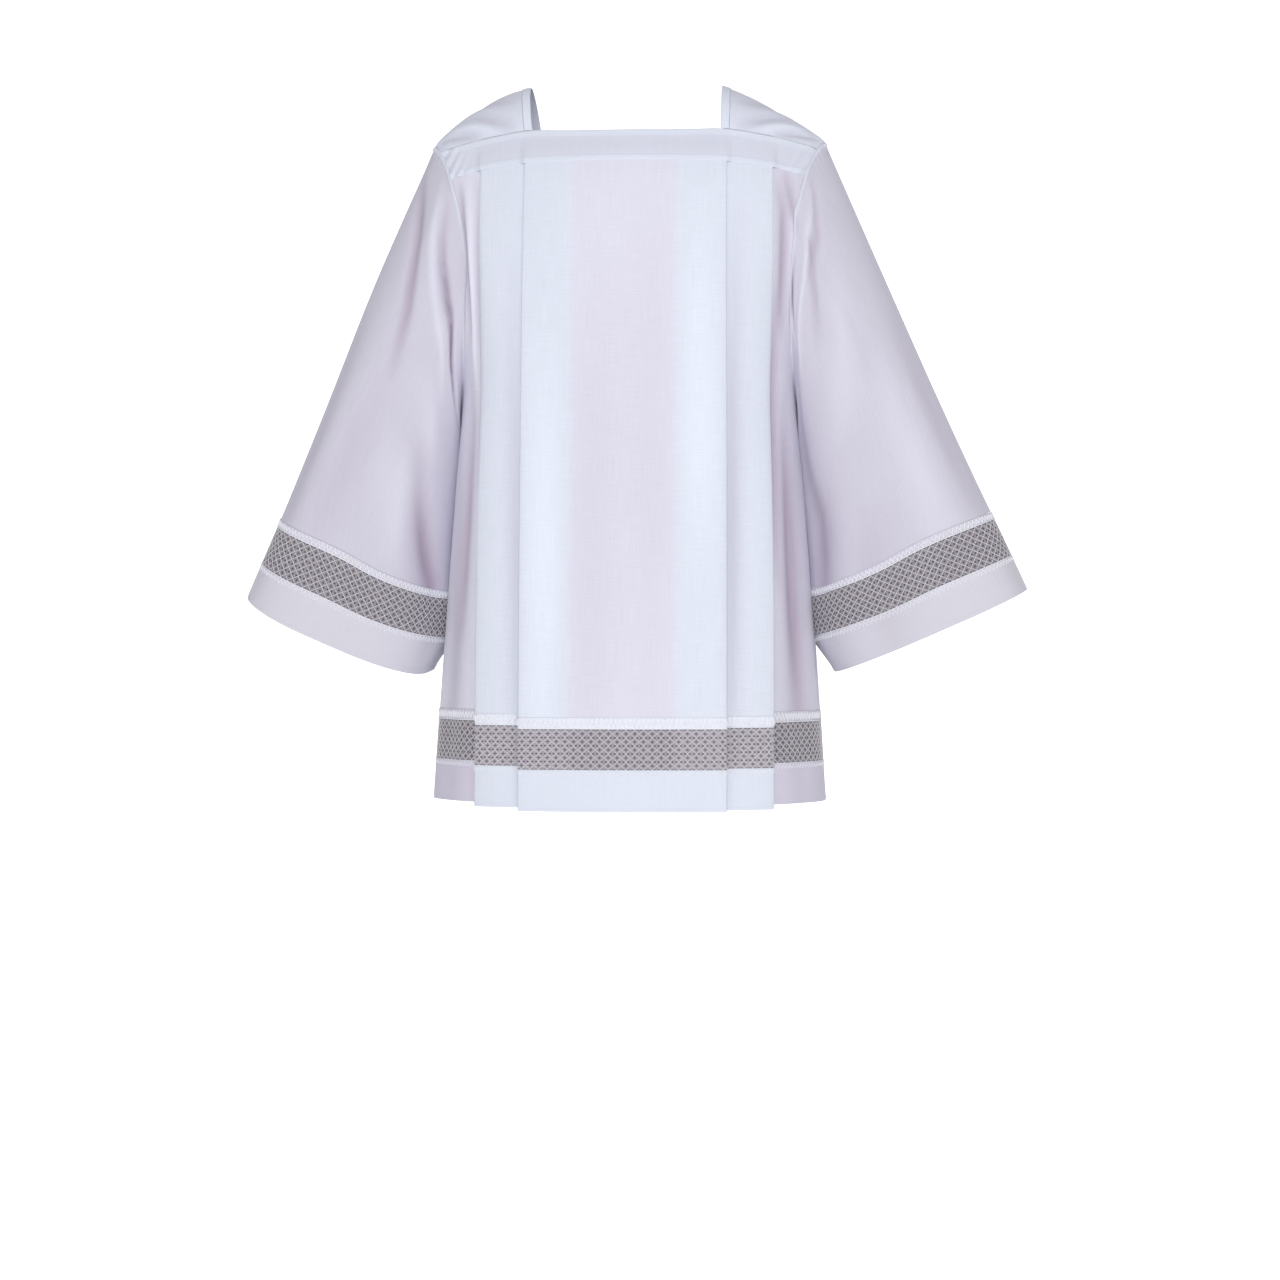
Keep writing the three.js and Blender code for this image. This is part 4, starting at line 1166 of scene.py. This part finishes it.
# Painted highlight along the sleeve's armhole seam: how white it is, how far it lies from the seam and how
# wide it spreads.
SEAM_HIGHLIGHT = 0.75
SEAM_LINE = 0.0032
SEAM_SPREAD = 0.0026
CUFF_WAVE = 0.0018
SLEEVE_HEM = 0.046
SLEEVE_NET = 0.047
SLEEVE_TAPE = 0.010
RING = 2 * np.pi * np.arange(192) / 192
# The sleeves' cotton is darker than the body's: partly the dark garment beneath showing through the single
# cloth, partly painted shade where the sleeves turn away from the light.
SLEEVE_COTTON = cotton("sleeve_cotton", (0.615, 0.600, 0.695), COTTON_PLIED, slubs=0.12, patches=0.06)


def sleeve_section(name, angle, share):
    read = {column: line(share) for column, line in SLEEVE_READ[name].items()}
    over = np.stack([read["over_x"], 0 * share, read["over_z"]], -1)
    under = np.stack([read["under_x"], read["under_y"], read["under_z"]], -1)
    half = (over - under) / 2
    flatter = lambda wave: np.sign(wave) * np.abs(wave) ** SLEEVE_FLATNESS
    point = (over + under) / 2 + half * flatter(np.cos(angle))[..., None]
    point[..., 1] -= read["half_depth"] * flatter(np.sin(angle))
    tucked = ((1 - np.cos(angle)) / 2) ** 4 * ease(0.04, 0.30, share) * (1 - 0.8 * ease(0.80, 1.0, share))
    point[..., 0] -= TUCKED_IN * tucked
    point[..., 1] += TUCKED_BACK * tucked
    out_of_mouth = np.stack([half[..., 2], 0 * share, -half[..., 0]], -1)
    out_of_mouth /= np.linalg.norm(out_of_mouth, axis=-1, keepdims=True)
    return point + out_of_mouth * (CUFF_BULGE[name] * share**2 * np.sin(angle))[..., None]


def sleeve_grid(name, angle, share):
    """The sleeve's cloth and its normals: angle 0 is the over line, share 0 the armhole, 1 the cuff."""
    seat = armhole_point(name, angle)
    seat[..., 0] += SLEEVE_SEAT
    settle = ((1 - share) ** 2)[..., None] * (seat - sleeve_section(name, angle, 0 * share))
    points = sleeve_section(name, angle, share) + settle
    normal = surface_normals(points, True)
    normal *= np.sign(normal[len(normal) // 2, 0, 0])
    degrees = np.degrees(angle)
    length = UNDER_LENGTH + (OVER_LENGTH - UNDER_LENGTH) * (1 + np.cos(angle)) / 2
    down = share * length
    lift = sum(
        crease_lift(SLEEVE_CREASES[name], (degrees + turn) * DEGREE, share * DOWN_THE_SLEEVE)
        for turn in (-360, 0, 360)
    )
    lift = lift * ease(0.0, 0.007, down)
    near_top = ease(-0.2, 0.6, np.cos(angle))
    seam_roll = 0.0015 * np.exp(-(((down - 0.0038) / 0.0016) ** 2) / 2)
    uneven = np.sin(angle * 88 + 3 * np.sin(angle * 7))
    puckers = (0.0003 + 0.0009 * near_top) * uneven * np.exp(-down / 0.013) * ease(0.0, 0.003, down)
    wave = CUFF_WAVE * np.sin(3 * angle + 1.1) * ease(0.75, 1.0, share)
    points = points + normal * (lift + seam_roll + puckers + wave)[..., None]
    normal = surface_normals(points, True)
    normal *= np.sign(normal[len(normal) // 2, 0, 0])
    points[..., 0] *= SIDES[name]
    normal[..., 0] *= SIDES[name]
    return points, normal, lift


def sleeve_stretch(name, from_cuff, to_cuff, rows):
    """A stretch of sleeve between two distances up from the cuff's edge; None stands for the armhole."""
    steps = np.linspace(1, 0, rows)
    if to_cuff is None:
        steps = np.concatenate([np.linspace(1.0, 0.975, 12)[:-1], np.linspace(0.975, 0, rows)])
    angle, step = np.meshgrid(RING, steps)
    length = UNDER_LENGTH + (OVER_LENGTH - UNDER_LENGTH) * (1 + np.cos(angle)) / 2
    upper = length if to_cuff is None else to_cuff
    return sleeve_grid(name, angle, 1 - (from_cuff + (upper - from_cuff) * step) / length)


for name in SIDES:
    points, normal, lift = sleeve_stretch(name, SLEEVE_HEM + SLEEVE_NET + SLEEVE_TAPE + SEAM_GAP, None, 91)
    half = normal * CLOTH_THICKNESS / 2
    # Painted highlight: the cloth along the armhole seam's rolled ridge is whitened, most over the top of the
    # sleeve and fading round its underside.
    from_seam = np.linalg.norm(points - points[:1], axis=-1)
    seam = SEAM_HIGHLIGHT * np.exp(-(((from_seam - SEAM_LINE) / SEAM_SPREAD) ** 2) / 2)
    seam = seam * ease(-0.45, 0.35, np.cos(RING))
    # The sleeve's creases are also painted into its colour as shade in their hollows and highlight on their
    # ridges.
    sleeve, flat, area = cloth_shell(f"{name}_sleeve_cloth", points + half, points - half, closed=True,
                                     tint=seam, lift=lift)
    hang(sleeve, f"{name}_sleeve", SLEEVE_COTTON)


# The cuffs. The same three bands as on the body run round each sleeve: lace tape, net and a plain hem
# turned up double.

CUFF_COTTON = cotton("cuff_cotton", (0.610, 0.588, 0.645), COTTON_PLIED, slubs=0.08)

for name in SIDES:
    edge = SLEEVE_HEM + SLEEVE_NET
    points, normal, _ = sleeve_stretch(name, edge + SEAM_GAP, edge + SLEEVE_TAPE, 6)
    half = normal * CLOTH_THICKNESS / 2
    tape, flat, area = cloth_shell(f"{name}_cuff_lace_tape_ground", points + half, points - half, closed=True)
    raised = ring_closed(points + half + normal * CORD_RADIUS * 0.6)
    cords = sew_beading(f"{name}_cuff", raised)
    hang(tape, f"{name}_cuff_lace_tape", LACE_GROUND)

    points, normal, _ = sleeve_stretch(name, SLEEVE_HEM + SEAM_GAP, edge, 13)
    half = normal * CLOTH_THICKNESS * 0.3
    net, flat, area = cloth_shell(f"{name}_cuff_net_ground", points + half, points - half, closed=True)
    raised = ring_closed(points + half + normal * NET_THREAD_RADIUS * 0.5)
    threads = knot_net(f"{name}_cuff", net, points, raised, True)
    hang(net, f"{name}_cuff_net", NET_GROUND)

    points, normal, lift = sleeve_stretch(name, 0.0, SLEEVE_HEM, 19)
    half = normal * HEM_THICKNESS / 2
    # The cuff hem's creases are painted into its colour as shade and highlight too.
    hem, flat, area = cloth_shell(f"{name}_cuff_hem_cloth", points + half, points - half, closed=True,
                                  tint=np.full(points.shape[:2], 0.3), lift=lift)
    raised = ring_closed(points + half + normal * 0.0002)
    sewing = trim_hem(f"{name}_cuff", raised, SLEEVE_HEM)
    hang(hem, f"{name}_cuff_hem", CUFF_COTTON)


# The studio: a pale seamless sweep behind and below, soft lights in front, and one at each side behind.

FLOOR_LEVEL = -1.409
SWEEP_BACK = 6.0
SWEEP_BEND = 1.2
profile = [(-5.0, FLOOR_LEVEL), (SWEEP_BACK - SWEEP_BEND, FLOOR_LEVEL)]
for turn in np.linspace(0, np.pi / 2, 13)[1:]:
    back = SWEEP_BACK - SWEEP_BEND + SWEEP_BEND * math.sin(turn)
    profile.append((back, FLOOR_LEVEL + SWEEP_BEND * (1 - math.cos(turn))))
profile.append((SWEEP_BACK, 4.5))
sweep_mesh = bpy.data.meshes.new("studio_sweep")
sweep_points = [(x, y, z) for y, z in profile for x in (-7.0, 7.0)]
sweep_faces = [(2 * k, 2 * k + 1, 2 * k + 3, 2 * k + 2) for k in range(len(profile) - 1)]
sweep_mesh.from_pydata(sweep_points, [], sweep_faces)
sweep_mesh.polygons.foreach_set("use_smooth", [True] * len(sweep_faces))
sweep = bpy.data.objects.new("studio_sweep", sweep_mesh)
scene.collection.objects.link(sweep)
paper = bpy.data.materials.new("sweep_paper")
paper.use_nodes = True
paper_shader = paper.node_tree.nodes["Principled BSDF"]
paper_shader.inputs["Base Color"].default_value = (0.9, 0.9, 0.9, 1)
paper_shader.inputs["Roughness"].default_value = 0.95
paper_shader.inputs["Emission Color"].default_value = (1, 1, 1, 1)
paper_shader.inputs["Emission Strength"].default_value = 0.95
sweep.visible_diffuse = False
sweep_mesh.materials.append(paper)


LAMP_COLOUR = (1.0, 0.99, 0.99)
MIDDLE = (0, 0, -0.5)


def soft_light(name, place_at, size, power):
    light = bpy.data.lights.new(name, "AREA")
    light.shape = "RECTANGLE"
    light.size, light.size_y = size
    light.energy = power
    light.color = LAMP_COLOUR
    lamp = bpy.data.objects.new(name, light)
    lamp.location = place_at
    direction = np.array(MIDDLE) - np.array(place_at)
    yaw = math.atan2(-direction[0], direction[1])
    pitch = math.atan2(direction[2], math.hypot(direction[0], direction[1]))
    lamp.rotation_euler = (math.pi / 2 + pitch, 0, yaw)
    scene.collection.objects.link(lamp)


soft_light("key", (-1.7, -2.9, 0.0), (1.0, 1.4), 9)
soft_light("fill", (1.7, -2.9, 0.0), (1.0, 1.4), 13)
soft_light("front", (0.2, -3.5, -0.4), (0.7, 0.7), 50)
for side, way in SIDES.items():
    soft_light(f"{side}_back", (2.3 * way, 2.6, 0.2), (0.9, 1.2), 14)
world = bpy.data.worlds.new("studio")
scene.world = world
world.use_nodes = True
world.node_tree.nodes["Background"].inputs["Color"].default_value = (0.98, 0.965, 0.99, 1)
world.node_tree.nodes["Background"].inputs["Strength"].default_value = 0.50
scene.view_settings.view_transform = "Standard"

# The camera stands level, a little to the wearer's left, with the hem and the neck equally far off centre.
CAMERA_DISTANCE = 3.300
CAMERA_TURN = math.radians(3.3)
CAMERA_HEIGHT = -0.690
CAMERA_STEP_ASIDE = 0.0131
camera_data = bpy.data.cameras.new("camera")
camera_data.sensor_width = 36.0
camera_data.lens = 74.25
camera = bpy.data.objects.new("camera", camera_data)
camera.location = (
    CAMERA_DISTANCE * math.sin(CAMERA_TURN) + CAMERA_STEP_ASIDE * math.cos(CAMERA_TURN),
    -CAMERA_DISTANCE * math.cos(CAMERA_TURN) + CAMERA_STEP_ASIDE * math.sin(CAMERA_TURN),
    CAMERA_HEIGHT,
)
camera.rotation_euler = (math.pi / 2, 0, CAMERA_TURN)
scene.collection.objects.link(camera)
scene.camera = camera
